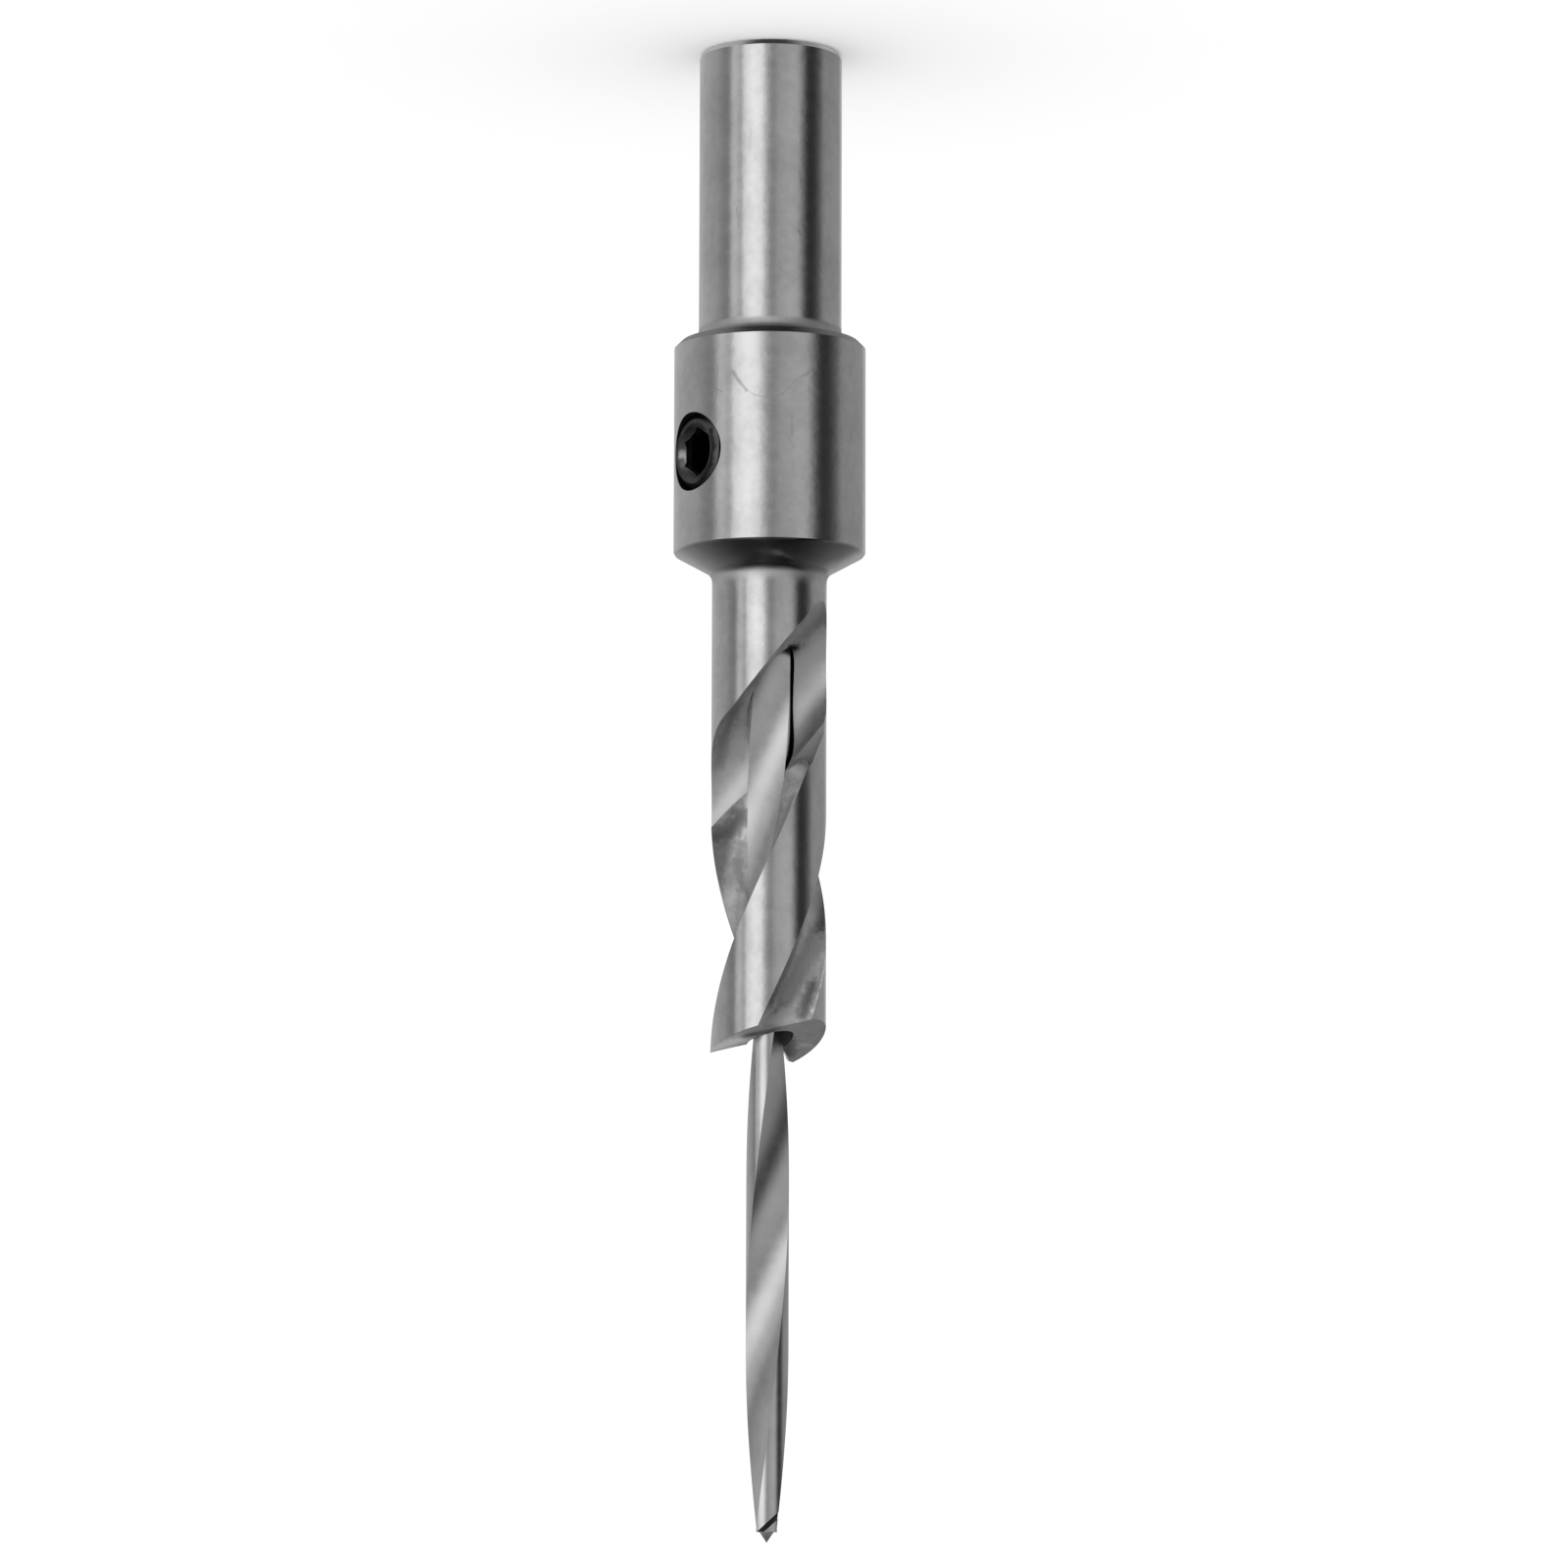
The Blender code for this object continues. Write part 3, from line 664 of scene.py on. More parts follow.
def steel(name, grey, dark_grey, roughness, stretch, grain_scale, line_depth, grain_depth,
          anisotropy=0.0, metallic=1.0, helix_lead=None, line_turn=None, scratches=(), bands=(),
          spots=()):
    """Ground steel. stretch is how the line coordinates scale X, Y and Z, so that lines lie along
    the short axes. bands are (start, full, fading, end, tint, roughness) rings about Z, whose tint is
    painted shade below one and a painted highlight above one, and spots are (marks, grey, roughness),
    patches of painted highlight and painted shade in a grey of their own."""
    material = bpy.data.materials.new(name)
    material.use_nodes = True
    tree = material.node_tree
    shader = tree.nodes["Principled BSDF"]
    shader.inputs["Metallic"].default_value = metallic
    shader.inputs["Anisotropic"].default_value = anisotropy
    coordinates = tree.nodes.new("ShaderNodeTexCoord")
    place_of = coordinates.outputs["Object"]
    stretched = place(tree, "ShaderNodeVectorMath", operation="MULTIPLY")
    stretched.inputs[1].default_value = stretch
    link(tree, line_coordinates(tree, place_of, helix_lead, line_turn), stretched.inputs[0])
    marks = tree.nodes.new("ShaderNodeGroup")
    marks.node_tree = grind_group
    marks.inputs["Grain Scale"].default_value = grain_scale
    link(tree, stretched.outputs["Vector"], marks.inputs["Line Coordinates"])
    link(tree, place_of, marks.inputs["Grain Coordinates"])
    tint = place(tree, "ShaderNodeMix", data_type="RGBA")
    tint.inputs["A"].default_value = (dark_grey, dark_grey, dark_grey, 1)
    tint.inputs["B"].default_value = (grey, grey, grey, 1)
    mottle = place(tree, "ShaderNodeMix", data_type="FLOAT", Factor=GRAIN_SHARE)
    tone = place(tree, "ShaderNodeMapRange", From_Min=DARKEST_MARK, From_Max=LIGHTEST_MARK)
    rough = place(
        tree, "ShaderNodeMapRange", To_Min=roughness * SMOOTHEST, To_Max=roughness * ROUGHEST
    )
    link(tree, marks.outputs["Blotches"], mottle.inputs["A"])
    link(tree, marks.outputs["Grain"], mottle.inputs["B"])
    link(tree, mottle.outputs["Result"], tone.inputs["Value"])
    link(tree, tone.outputs["Result"], tint.inputs["Factor"])
    link(tree, marks.outputs["Grain"], rough.inputs["Value"])
    changes = []
    if scratches:
        scratched = stroke_mask(tree, place_of, scratches)
        changes.append((scratched, "MULTIPLY", SCRATCH_TINT, SCRATCH_ROUGHNESS))
    for start, full, fading, end, band_tint, band_roughness in bands:
        ringed = ring_mask(tree, place_of, start, full, fading, end)
        changes.append((ringed, "MULTIPLY", band_tint, band_roughness))
    for spot_marks, spot_grey, spot_roughness in spots:
        spotted = stroke_mask(tree, place_of, spot_marks)
        changes.append((spotted, "MIX", spot_grey, spot_roughness))
    colour_now = tint.outputs["Result"]
    rough_now = rough.outputs["Result"]
    for mask, blend, share, new_roughness in changes:
        dimmed = place(tree, "ShaderNodeMix", data_type="RGBA", blend_type=blend)
        dimmed.inputs["B"].default_value = (share, share, share, 1)
        roughened = place(tree, "ShaderNodeMix", data_type="FLOAT")
        roughened.inputs["B"].default_value = new_roughness
        link(tree, mask, dimmed.inputs["Factor"])
        link(tree, colour_now, dimmed.inputs["A"])
        link(tree, mask, roughened.inputs["Factor"])
        link(tree, rough_now, roughened.inputs["A"])
        colour_now = dimmed.outputs["Result"]
        rough_now = roughened.outputs["Result"]
    link(tree, colour_now, shader.inputs["Base Color"])
    link(tree, rough_now, shader.inputs["Roughness"])
    line_bump = place(tree, "ShaderNodeBump", Distance=line_depth)
    grain_bump = place(tree, "ShaderNodeBump", Distance=grain_depth)
    link(tree, marks.outputs["Lines"], line_bump.inputs["Height"])
    link(tree, marks.outputs["Grain"], grain_bump.inputs["Height"])
    link(tree, line_bump.outputs["Normal"], grain_bump.inputs["Normal"])
    link(tree, grain_bump.outputs["Normal"], shader.inputs["Normal"])
    if anisotropy:
        tangent = place(tree, "ShaderNodeTangent", direction_type="RADIAL", axis="Z")
        link(tree, tangent.outputs["Tangent"], shader.inputs["Tangent"])
    return material


# Scratches: (degrees about Z, height in mm) points, width in mm and strength
COLLAR_SCRATCHES = [
    ([(-67.5, 23.95), (-72, 24.75)], 0.22, 0.55),
    ([(-72, 24.75), (-76.2, 25.3)], 0.17, 0.5),
    ([(-76.2, 25.3), (-81, 25.64), (-86.7, 25.82), (-92.5, 25.84), (-98.3, 25.5)], 0.12, 0.22),
    ([(-98.3, 25.5), (-105.4, 24.6), (-109, 24.3)], 0.1, 0.14),
    ([(-109, 24.3), (-112, 24.1), (-116.6, 23.75)], 0.14, 0.25),
    ([(-90.7, 24.4), (-90.8, 24.95)], 0.36, 0.3),
    ([(-91, 25.9), (-92.5, 26.75)], 0.24, 0.22),
    ([(-103.1, 27.1), (-103.1, 28.5)], 0.16, 0.25),
    ([(-101, 28.6), (-104.5, 29.3)], 0.16, 0.12),
    ([(-55.7, 25.0), (-61.2, 25.3)], 0.1, 0.25),
    ([(-57, 23.3), (-56.5, 25.4)], 0.14, 0.2),
    ([(-93, 31.5), (-92, 33.6)], 0.12, 0.15),
]
SHANK_SCRATCHES = [
    ([(-116, 5.0), (-118, 5.6)], 0.12, 0.35),
    ([(-113.5, 9.4), (-115.5, 10.2)], 0.1, 0.3),
    ([(-112.5, 13.6), (-116, 14.0)], 0.14, 0.3),
    ([(-128, 17.6), (-125, 18.0)], 0.12, 0.3),
    ([(-62, 12.0), (-64, 13.4)], 0.12, 0.2),
    ([(-74, 6.4), (-73, 8.0)], 0.1, 0.14),
    ([(-98, 16.3), (-102, 16.8)], 0.12, 0.14),
]
round_scratches = []
for points, width, strength in COLLAR_SCRATCHES:
    round_scratches += on_round(COLLAR_RADIUS, points, width * MM, strength)
for points, width, strength in SHANK_SCRATCHES:
    round_scratches += on_round(SHANK_RADIUS, points, width * MM, strength)

# Rings about the axis: a dull fillet where the shank meets the collar, painted shade on the collar's
# chamfer and on its taper, and a dull neck fillet painted lighter as a painted highlight
chamfer_end = SHANK_LENGTH + COLLAR_CHAMFER
taper_end = COLLAR_END + taper_height
neck_start = neck_fillet_centre[1]
ROUND_BANDS_WITH_PAINTED_LIGHT = [
    (SHANK_LENGTH - 1.1 * MM, SHANK_LENGTH - 0.7 * MM, SHANK_LENGTH, chamfer_end, 1.0, 0.5),
    (SHANK_LENGTH - HAIR, SHANK_LENGTH, chamfer_end, chamfer_end + HAIR, 0.45, 0.3),
    (COLLAR_END - HAIR, COLLAR_END, taper_end, taper_end + 0.3 * MM, 0.75, 0.2),
    (taper_end - 0.1 * MM, taper_end + 0.3 * MM, neck_start - 0.3 * MM, neck_start + 0.7 * MM, 1.1, 0.42),
]
# Spots of painted highlight and painted shade: (marks, grey, roughness), with points, width in mm and
# strength for each mark
FLUTE_LIGHT_AND_SHADE_SPOTS = [
    (painted_patch([(0.0, -3.2, 68.75), (-1.1, -2.55, 67.9)], 0.75, 0.9), 0.95, 0.7),
    (painted_patch([(-0.4, -2.85, 68.7), (-1.83, -2.33, 68.32)], 0.5, 0.9), 0.95, 0.7),
    (painted_patch([(-3.05, -1.59, 66.0), (-2.44, -2.28, 68.2)], 0.75, 0.9), 0.2, 0.45),
    (painted_patch([(3.5, 0.75, 55.4), (2.65, 0.75, 55.0), (1.87, 0.5, 54.0)], 1.25, 0.95), 0.28, 0.45),
    (painted_patch([(2.67, 1.86, 58.5), (2.13, 1.32, 57.2)], 0.8, 0.7), 0.4, 0.4),
    (painted_patch([(1.85, 1.71, 58.8), (2.13, 1.32, 57.2), (1.9, 0.9, 55.9)], 0.7, 0.75), 0.35, 0.4),
    (painted_patch([(-3.32, -0.45, 62.8), (-2.1, -1.8, 65.0), (-1.09, -2.63, 66.8)], 1.3, 0.9), 0.8, 0.75),
    (painted_patch([(-1.6, -1.8, 51.1), (-2.2, -2.7, 51.5)], 0.9, 0.8), 1.0, 0.8),
    (painted_patch([(-1.6, -3.0, 53.3), (-0.7, -3.4, 55.7)], 0.8, 0.7), 0.35, 0.45),
]
SLOT_LIGHT_AND_SHADE_SPOTS = [
    (painted_patch([(-1.8, 0.14, 43.9), (-3.76, 0.2, 41.9)], 1.9, 0.95), 0.98, 0.95),
    (painted_patch([(2.22, -1.35, 46.68), (3.17, -0.41, 48.8), (3.5, 0.1, 50.3)], 0.9, 0.85), 0.45, 0.5),
    (painted_patch([(-1.45, -0.95, 42.4), (-1.85, -0.6, 42.42)], 0.55, 1.0), 0.01, 0.6),
]
END_LIGHT_AND_SHADE_SPOTS = [
    (painted_patch([(3.9, -1.0, 70.43), (2.14, -1.56, 69.89)], 2.0, 1.0), 0.56, 0.5),
    (painted_patch([(1.25, -2.2, 69.55), (-0.2, -2.0, 69.3)], 1.1, 1.0), 0.07, 0.5),
    (painted_patch([(-1.3, 2.4, 70.3), (-1.3, 0.9, 69.8)], 1.1, 0.9), 0.05, 0.5),
    (painted_patch([(-2.9, 1.9, 69.95), (-2.4, 1.7, 69.8)], 0.4, 0.6), 0.35, 0.4),
]

turned_steel = steel(
    "turned_steel", grey=0.74, dark_grey=0.61, roughness=0.13, stretch=(300, 300, 9000),
    grain_scale=1400.0, line_depth=1.4e-6, grain_depth=1e-5, anisotropy=0.5,
    scratches=round_scratches, bands=ROUND_BANDS_WITH_PAINTED_LIGHT,
)
# The bore and the screw hole are steel painted nearly black, as painted shade in these recesses.
shaded_bore_steel = steel(
    "shaded_bore_steel", grey=0.17, dark_grey=0.08, roughness=0.5, stretch=(300, 300, 6000),
    grain_scale=1500.0, line_depth=4e-6, grain_depth=6e-6,
)
slotted_steel = steel(
    "slotted_steel", grey=0.80, dark_grey=0.66, roughness=0.46, stretch=(5000, 5000, 250),
    grain_scale=1500.0, line_depth=5e-6, grain_depth=1.2e-5,
    line_turn=(0, SLOT_TILT, slot_direction + math.pi / 2), spots=SLOT_LIGHT_AND_SHADE_SPOTS,
)
fluted_steel = steel(
    "fluted_steel", grey=0.74, dark_grey=0.50, roughness=0.26, stretch=(5000, 5000, 250),
    grain_scale=1500.0, line_depth=4e-6, grain_depth=1.2e-5,
    helix_lead=CUTTER_LEAD, spots=FLUTE_LIGHT_AND_SHADE_SPOTS,
)
ground_end_steel = steel(
    "ground_end_steel", grey=0.24, dark_grey=0.17, roughness=0.5, stretch=(6000, 300, 6000),
    grain_scale=1500.0, line_depth=4e-6, grain_depth=1e-5, metallic=0.3, spots=END_LIGHT_AND_SHADE_SPOTS,
)

# The rake corner's cut takes the dark end finish, which is painted shade on that wall.
cut_smoothly(
    fluted_body,
    [bore, screw_hole, hole_mouth, wheel_slot, wide_flute, narrow_flute, slanted_end,
     rake_corner, heel_corner],
    [turned_steel, shaded_bore_steel, shaded_bore_steel, shaded_bore_steel, slotted_steel, fluted_steel,
     fluted_steel, ground_end_steel, ground_end_steel, ground_end_steel],
)
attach(fluted_body, "root")
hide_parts("cutter_body")


# Pilot drill. It is hardened drill steel, ground bright, with two slow flutes, a plain shank that
# the screw clamps, and a small centre point between two spurs.

PILOT_FLUTE_LENGTH = 64.0 * MM
PILOT_LEAD = 73.0 * MM
PILOT_FLUTE_ANGLE_AT_TIP = math.radians(5)
PILOT_LAND_ANGLE = math.radians(57)
PILOT_WEB = 1.05 * MM
PILOT_WHEEL = 20.0 * MM
PILOT_POINT_LENGTH = 0.75 * MM
PILOT_POINT_RADIUS = 0.5 * MM
PILOT_CHAMFER = 0.2 * MM
GASH_START = (0.48 * MM, 0, PILOT_TIP - 0.68 * MM)
GASH_END = (-0.68 * MM, 0, PILOT_TIP - 1.75 * MM)
GASH_WIDTH = 0.34 * MM
GASH_FLOOR = -1.15 * MM
GASH_OVERRUN = 0.3

spur_height = PILOT_TIP - PILOT_POINT_LENGTH
pilot_profile = [
    (0, PILOT_TIP),
    (PILOT_POINT_RADIUS, spur_height),
    (PILOT_RADIUS, spur_height),
    (PILOT_RADIUS, PILOT_START + PILOT_CHAMFER),
    (PILOT_RADIUS - PILOT_CHAMFER, PILOT_START),
    (0, PILOT_START),
]
pilot_bit = turned("pilot_bit", pilot_profile, ROUND_STEPS)

pilot_flute_depth = PILOT_RADIUS - PILOT_WEB / 2
pilot_lift = pilot_flute_depth + WHEEL_CLEARANCE / 2
pilot_flute_start = PILOT_TIP - PILOT_FLUTE_LENGTH


def pilot_flute_section(height):
    """The arc of a pilot flute, lifted out of the rod below the flute's start."""
    lift = wheel_lift(PILOT_WHEEL, pilot_flute_start - height)
    reach = PILOT_RADIUS + OVERSHOOT
    return arc_flute(PILOT_RADIUS, pilot_flute_depth, math.pi - PILOT_LAND_ANGLE, reach, lift)


pilot_flutes = []
for number in range(2):
    pilot_flutes.append(helix_sweep(
        f"pilot_flute_{number + 1}",
        pilot_flute_section,
        PILOT_LEAD,
        PILOT_TIP,
        PILOT_FLUTE_ANGLE_AT_TIP + number * math.pi,
        PILOT_FLUTE_LENGTH + wheel_travel(PILOT_WHEEL, pilot_lift),
        OVERSHOOT,
    ))

gash_start = Vector(GASH_START)
gash_run = Vector(GASH_END) - gash_start
gash_side = gash_run.cross(Vector((0, 1, 0))).normalized() * GASH_WIDTH / 2
gash_rings = []
for share in (-GASH_OVERRUN, 1 + GASH_OVERRUN):
    middle = gash_start + gash_run * share
    ring = []
    for side, depth in ((-1, GASH_FLOOR), (1, GASH_FLOOR), (1, -OVERSHOOT), (-1, -OVERSHOOT)):
        ring.append((middle.x + side * gash_side.x, depth, middle.z + side * gash_side.z))
    gash_rings.append(ring)
lip_gash = loft("lip_gash", gash_rings)

# The centre point is dull and painted lighter as a painted highlight, from its foot at the spurs to its
# tip
POINT_BAND = (spur_height - HAIR, spur_height, PILOT_TIP, PILOT_TIP + MM, 1.3, 0.85)
bright_drill_steel = steel(
    "bright_drill_steel", grey=0.74, dark_grey=0.64, roughness=0.2, stretch=(200, 200, 9000),
    grain_scale=1800.0, line_depth=8e-7, grain_depth=3e-6, anisotropy=0.4, bands=[POINT_BAND],
)
drill_flute_steel = steel(
    "drill_flute_steel", grey=0.74, dark_grey=0.62, roughness=0.32, stretch=(7000, 7000, 250),
    grain_scale=1500.0, line_depth=1.2e-6, grain_depth=4e-6, helix_lead=PILOT_LEAD,
)
# The lip gash is steel painted nearly black as painted shade.
shaded_gash_steel = steel(
    "shaded_gash_steel", grey=0.06, dark_grey=0.03, roughness=0.45, stretch=(3000, 3000, 3000),
    grain_scale=2400.0, line_depth=4e-6, grain_depth=1e-5,
)
cut_smoothly(
    pilot_bit,
    pilot_flutes + [lip_gash],
    [bright_drill_steel, drill_flute_steel, drill_flute_steel, shaded_gash_steel],
)
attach(pilot_bit, "root")
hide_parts("pilot_drill")


# Set screw. It is a hardened screw with a black oxide skin, a hexagon socket in its outer end and
# its thread cut right up to the chamfer. It clamps the pilot drill through the collar.

SCREW_RADIUS = 2.55 * MM
SCREW_SINK = 0.3 * MM
SCREW_FACE = COLLAR_RADIUS - SCREW_SINK
SCREW_FOOT = 1.775 * MM
SCREW_CHAMFER = 0.3 * MM
THREAD_PITCH = 0.8 * MM
THREAD_CREST = 2.6 * MM
THREAD_ROOT = 2.25 * MM
HEX_ACROSS_FLATS = 3.0 * MM
HEX_DEPTH = 2.3 * MM
HEX_SIDES = 6
SOCKET_MOUTH_DEPTH = 0.75 * MM
SOCKET_STEP = 0.985
BEVEL_RADIUS = 1.95 * MM
BEVEL_DEPTH = 0.38 * MM
BEVEL_REACH = 0.4 * MM

screw_profile = [(0, SCREW_FACE), (SCREW_RADIUS - SCREW_CHAMFER, SCREW_FACE)]
thread_height = SCREW_FACE - SCREW_CHAMFER
while thread_height - THREAD_PITCH > SCREW_FOOT + SCREW_CHAMFER:
    screw_profile += [
        (THREAD_CREST, thread_height),
        (THREAD_ROOT, thread_height - THREAD_PITCH / 2),
    ]
    thread_height -= THREAD_PITCH
screw_profile += [
    (SCREW_RADIUS, SCREW_FOOT + SCREW_CHAMFER),
    (SCREW_RADIUS - SCREW_CHAMFER, SCREW_FOOT),
    (0, SCREW_FOOT),
]
clamp_screw = turned("clamp_screw", screw_profile, ROUND_STEPS)
bevel_profile = [
    (0, SCREW_FACE + BEVEL_REACH),
    (BEVEL_RADIUS + BEVEL_REACH, SCREW_FACE + BEVEL_REACH),
    (BEVEL_RADIUS - BEVEL_DEPTH, SCREW_FACE - BEVEL_DEPTH),
    (0, SCREW_FACE - BEVEL_DEPTH),
]
socket_bevel = turned("socket_bevel", bevel_profile, ROUND_STEPS)
hex_radius = HEX_ACROSS_FLATS / math.sqrt(3)
socket_mouth = plug(
    "socket_mouth", hex_radius, SCREW_FACE + OVERSHOOT, SCREW_FACE - SOCKET_MOUTH_DEPTH, HEX_SIDES
)
narrower = hex_radius * SOCKET_STEP
hex_profile = [
    (0, SCREW_FACE + OVERSHOOT),
    (narrower, SCREW_FACE + OVERSHOOT),
    (narrower, SCREW_FACE - HEX_DEPTH),
    (0, SCREW_FACE - HEX_DEPTH - narrower / 2),
]
hex_socket = turned("hex_socket", hex_profile, HEX_SIDES)
screw_place = screw_seat @ Matrix.Scale(MM, 4)


def on_screw(points, width, strength):
    """Marks that join points in mm in the screw's own frame, whose Z points out of the collar."""
    places = [screw_place @ Vector(point) for point in points]
    return [(start, end, width * MM, strength) for start, end in zip(places, places[1:])]


# Two painted highlights on the face at the socket's edge, and a dark ring of painted shade along one side
# of the face's edge
PAINTED_SHADE_RING = [(-2.0, -0.9, 6.35), (-1.2, -1.95, 6.35), (0, -2.3, 6.35), (1.2, -1.95, 6.35)]
PAINTED_GLINTS = [
    (on_screw([(-0.1, 1.55, 6.2), (-0.05, 1.75, 6.3)], 0.5, 1.0), 0.42, 0.35),
    (on_screw([(0.75, 0.95, 5.8), (1.0, 0.95, 5.9)], 0.3, 0.8), 0.25, 0.35),
]
SCREW_PAINTED_LIGHT_SPOTS = PAINTED_GLINTS + [(on_screw(PAINTED_SHADE_RING, 0.3, 0.95), 0.02, 0.5)]
blackened_steel = steel(
    "blackened_steel", grey=0.15, dark_grey=0.07, roughness=0.38, stretch=(6000, 6000, 6000),
    grain_scale=2600.0, line_depth=3e-6, grain_depth=1e-5, spots=SCREW_PAINTED_LIGHT_SPOTS,
)
worn_oxide = steel(
    "worn_oxide", grey=0.20, dark_grey=0.08, roughness=0.42, stretch=(3000, 3000, 3000),
    grain_scale=2600.0, line_depth=4e-6, grain_depth=1.2e-5, spots=PAINTED_GLINTS,
)
socket_shade = steel(
    "socket_shade", grey=0.02, dark_grey=0.008, roughness=0.6, stretch=(3000, 3000, 3000),
    grain_scale=2600.0, line_depth=4e-6, grain_depth=8e-6,
)
cut_smoothly(
    clamp_screw,
    [socket_bevel, socket_mouth, hex_socket],
    [blackened_steel, worn_oxide, worn_oxide, socket_shade],
)
clamp_screw.data.transform(screw_seat)
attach(clamp_screw, "root")
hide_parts("set_screw")


# Studio. A pale floor, a white surround for soft light, and a striped reflector tent that only
# polished metal sees, as a photographer sets white and black cards around steel.

FLOOR_RADIUS = 12.0
FLOOR_SIDES = 96
TENT_RADIUS = 3.0
TENT_SEGMENTS = 64
TENT_RINGS = 32
CAMERA_SIDE = math.radians(-90)
SURROUND_STRENGTH = 1.04

floor_mesh = bpy.data.meshes.new("studio_floor")
floor_shape = bmesh.new()
bmesh.ops.create_circle(floor_shape, cap_ends=True, segments=FLOOR_SIDES, radius=FLOOR_RADIUS)
floor_shape.to_mesh(floor_mesh)
floor_shape.free()
studio_floor = bpy.data.objects.new("studio_floor", floor_mesh)
bpy.context.scene.collection.objects.link(studio_floor)
floor_paint = bpy.data.materials.new("pale_floor")
floor_paint.use_nodes = True
floor_shader = floor_paint.node_tree.nodes["Principled BSDF"]
floor_shader.inputs["Base Color"].default_value = (1.0, 1.0, 1.0, 1)
floor_shader.inputs["Roughness"].default_value = 1.0
floor_shader.inputs["Specular IOR Level"].default_value = 0.0
floor_mesh.materials.append(floor_paint)
studio_floor.visible_glossy = False

tent_mesh = bpy.data.meshes.new("reflector_tent")
tent_shape = bmesh.new()
bmesh.ops.create_uvsphere(
    tent_shape, u_segments=TENT_SEGMENTS, v_segments=TENT_RINGS, radius=TENT_RADIUS
)
tent_shape.to_mesh(tent_mesh)
tent_shape.free()
reflector_tent = bpy.data.objects.new("reflector_tent", tent_mesh)
bpy.context.scene.collection.objects.link(reflector_tent)
for rays in ("camera", "diffuse", "transmission", "volume_scatter", "shadow"):
    setattr(reflector_tent, f"visible_{rays}", False)

# Brightness round the tent: degrees from the camera's side, positive to the photograph's right
TENT_STRIPES = [
    (-180, 0.50),
    (-152, 0.50),
    (-110, 0.39),
    (-96, 0.36),
    (-88, 0.29),
    (-76, 0.23),
    (-71, 0.27),
    (-65, 0.57),
    (-58, 0.61),
    (-51, 0.45),
    (-48, 0.48),
    (-44, 0.86),
    (-28, 1.12),
    (-14, 1.00),
    (-9, 0.66),
    (-2, 0.35),
    (4, 0.28),
    (14, 0.41),
    (34, 0.48),
    (45, 0.46),
    (50, 0.32),
    (56, 0.15),
    (61, 0.05),
    (66, 0.035),
    (74, 0.04),
    (80, 0.07),
    (88, 0.14),
    (95, 0.27),
    (102, 0.30),
    (148, 0.32),
    (158, 0.50),
    (180, 0.50),
]
# Share of that brightness that is left at each height of the tent, by the sine of its elevation
TENT_HEIGHTS = [
    (-1.0, 0.1),
    (-0.95, 0.12),
    (-0.86, 1.0),
    (0.25, 1.0),
    (0.45, 0.65),
    (0.77, 0.28),
    (0.93, 0.08),
    (1.0, 0.05),
]

tent_cloth = bpy.data.materials.new("striped_tent")
tent_cloth.use_nodes = True
tent_tree = tent_cloth.node_tree
tent_tree.nodes.clear()
tent_place = tent_tree.nodes.new("ShaderNodeTexCoord")
tent_split = tent_tree.nodes.new("ShaderNodeSeparateXYZ")
tent_turn = place(tent_tree, "ShaderNodeVectorRotate", rotation_type="Z_AXIS", Angle=-CAMERA_SIDE)
tent_angle = place(tent_tree, "ShaderNodeMath", operation="ARCTAN2")
tent_share = place(tent_tree, "ShaderNodeMapRange", From_Min=math.pi, From_Max=-math.pi)
stripes = tent_tree.nodes.new("ShaderNodeValToRGB")
tent_height = place(tent_tree, "ShaderNodeMapRange", From_Min=-TENT_RADIUS, From_Max=TENT_RADIUS)
heights = tent_tree.nodes.new("ShaderNodeValToRGB")
tent_mix = place(tent_tree, "ShaderNodeMix", data_type="RGBA", blend_type="MULTIPLY", Factor=1.0)
tent_light = tent_tree.nodes.new("ShaderNodeEmission")
tent_out = tent_tree.nodes.new("ShaderNodeOutputMaterial")


def fill_ramp(ramp, stops):
    """Set a colour ramp to grey stops of (position, brightness)."""
    while len(ramp.elements) > 1:
        ramp.elements.remove(ramp.elements[-1])
    for number, (position, grey) in enumerate(stops):
        stop = ramp.elements[0] if number == 0 else ramp.elements.new(position)
        stop.position = position
        stop.color = (grey, grey, grey, 1)


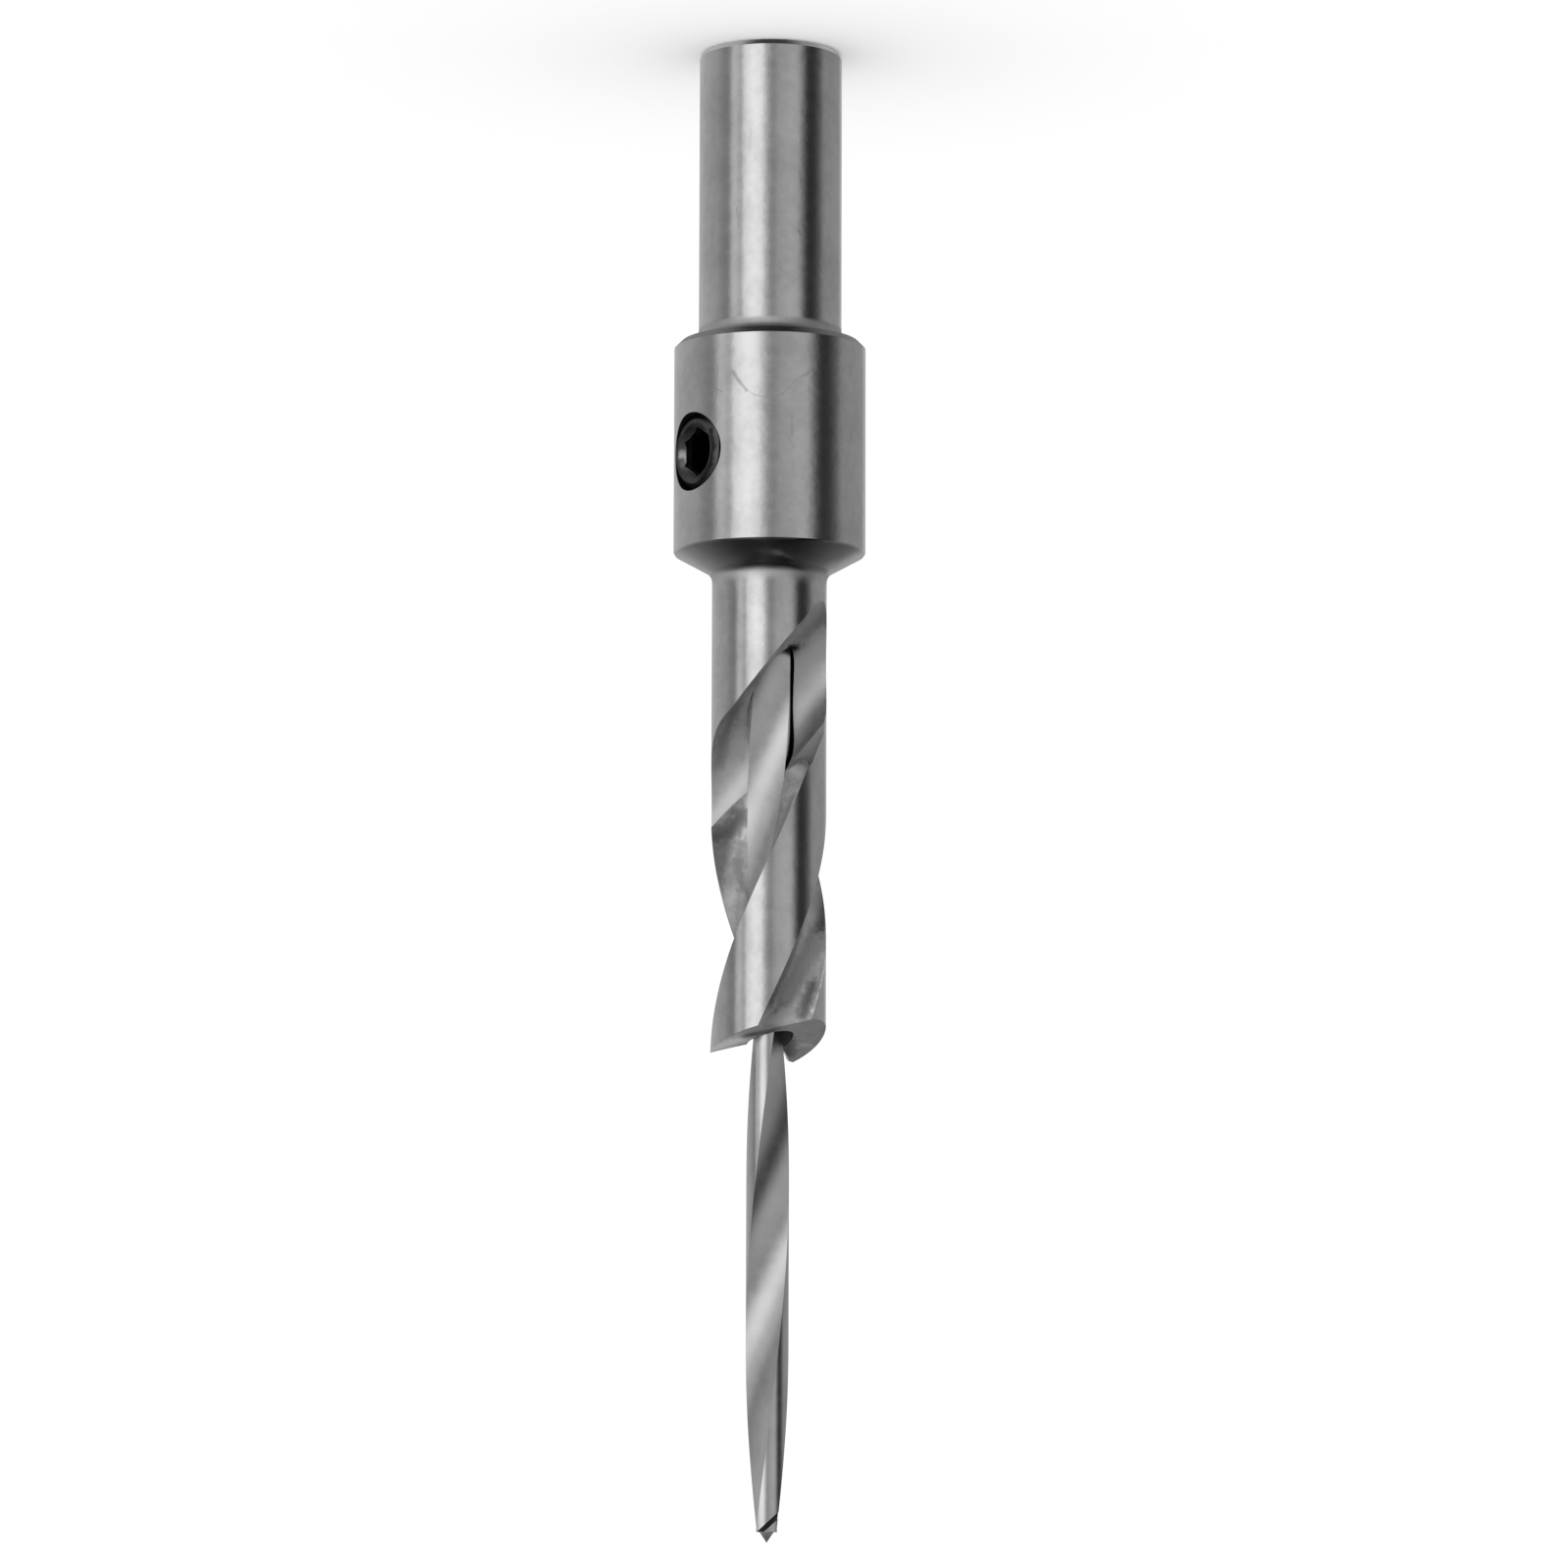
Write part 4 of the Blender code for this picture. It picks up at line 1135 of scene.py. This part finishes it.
fill_ramp(stripes.color_ramp, [((degrees + 180) / 360, grey) for degrees, grey in TENT_STRIPES])
fill_ramp(heights.color_ramp, [((sine + 1) / 2, grey) for sine, grey in TENT_HEIGHTS])
link(tent_tree, tent_place.outputs["Object"], tent_turn.inputs["Vector"])
link(tent_tree, tent_turn.outputs["Vector"], tent_split.inputs["Vector"])
link(tent_tree, tent_split.outputs["Y"], tent_angle.inputs[0])
link(tent_tree, tent_split.outputs["X"], tent_angle.inputs[1])
link(tent_tree, tent_angle.outputs[0], tent_share.inputs["Value"])
link(tent_tree, tent_share.outputs["Result"], stripes.inputs["Fac"])
link(tent_tree, tent_split.outputs["Z"], tent_height.inputs["Value"])
link(tent_tree, tent_height.outputs["Result"], heights.inputs["Fac"])
link(tent_tree, stripes.outputs["Color"], tent_mix.inputs["A"])
link(tent_tree, heights.outputs["Color"], tent_mix.inputs["B"])
link(tent_tree, tent_mix.outputs["Result"], tent_light.inputs["Color"])
link(tent_tree, tent_light.outputs["Emission"], tent_out.inputs["Surface"])
tent_mesh.materials.append(tent_cloth)

world = bpy.data.worlds.new("white_surround")
world.use_nodes = True
surround = world.node_tree.nodes["Background"]
surround.inputs["Color"].default_value = (1, 1, 1, 1)
surround.inputs["Strength"].default_value = SURROUND_STRENGTH
world.cycles_visibility.glossy = False
bpy.context.scene.world = world
bpy.context.scene.view_settings.view_transform = "Standard"


# Camera. It looks down a little at the standing bit and is rolled half a turn, so that the picture
# shows the shank at the top as the photograph does.

CAMERA_DISTANCE = 0.445
CAMERA_HEIGHT = 0.1109
CAMERA_PITCH = math.radians(7.56)
CAMERA_ROLL = math.radians(0.17)
CAMERA_LENS = 148.4
SENSOR_WIDTH = 36.0
CAMERA_SHIFT = 0.0097

camera = bpy.data.cameras.new("photo_camera")
camera.sensor_width = SENSOR_WIDTH
camera.lens = CAMERA_LENS
camera.shift_x = CAMERA_SHIFT
photo_camera = bpy.data.objects.new("photo_camera", camera)
bpy.context.scene.collection.objects.link(photo_camera)
look = Vector((0, math.cos(CAMERA_PITCH), -math.sin(CAMERA_PITCH)))
right = Vector((-1, 0, 0))
up = right.cross(look)
turned_right = right * math.cos(CAMERA_ROLL) + up * math.sin(CAMERA_ROLL)
turned_up = turned_right.cross(look)
axes = Matrix((turned_right, turned_up, -look)).transposed().to_4x4()
photo_camera.matrix_world = Matrix.Translation((0, -CAMERA_DISTANCE, CAMERA_HEIGHT)) @ axes
bpy.context.scene.camera = photo_camera
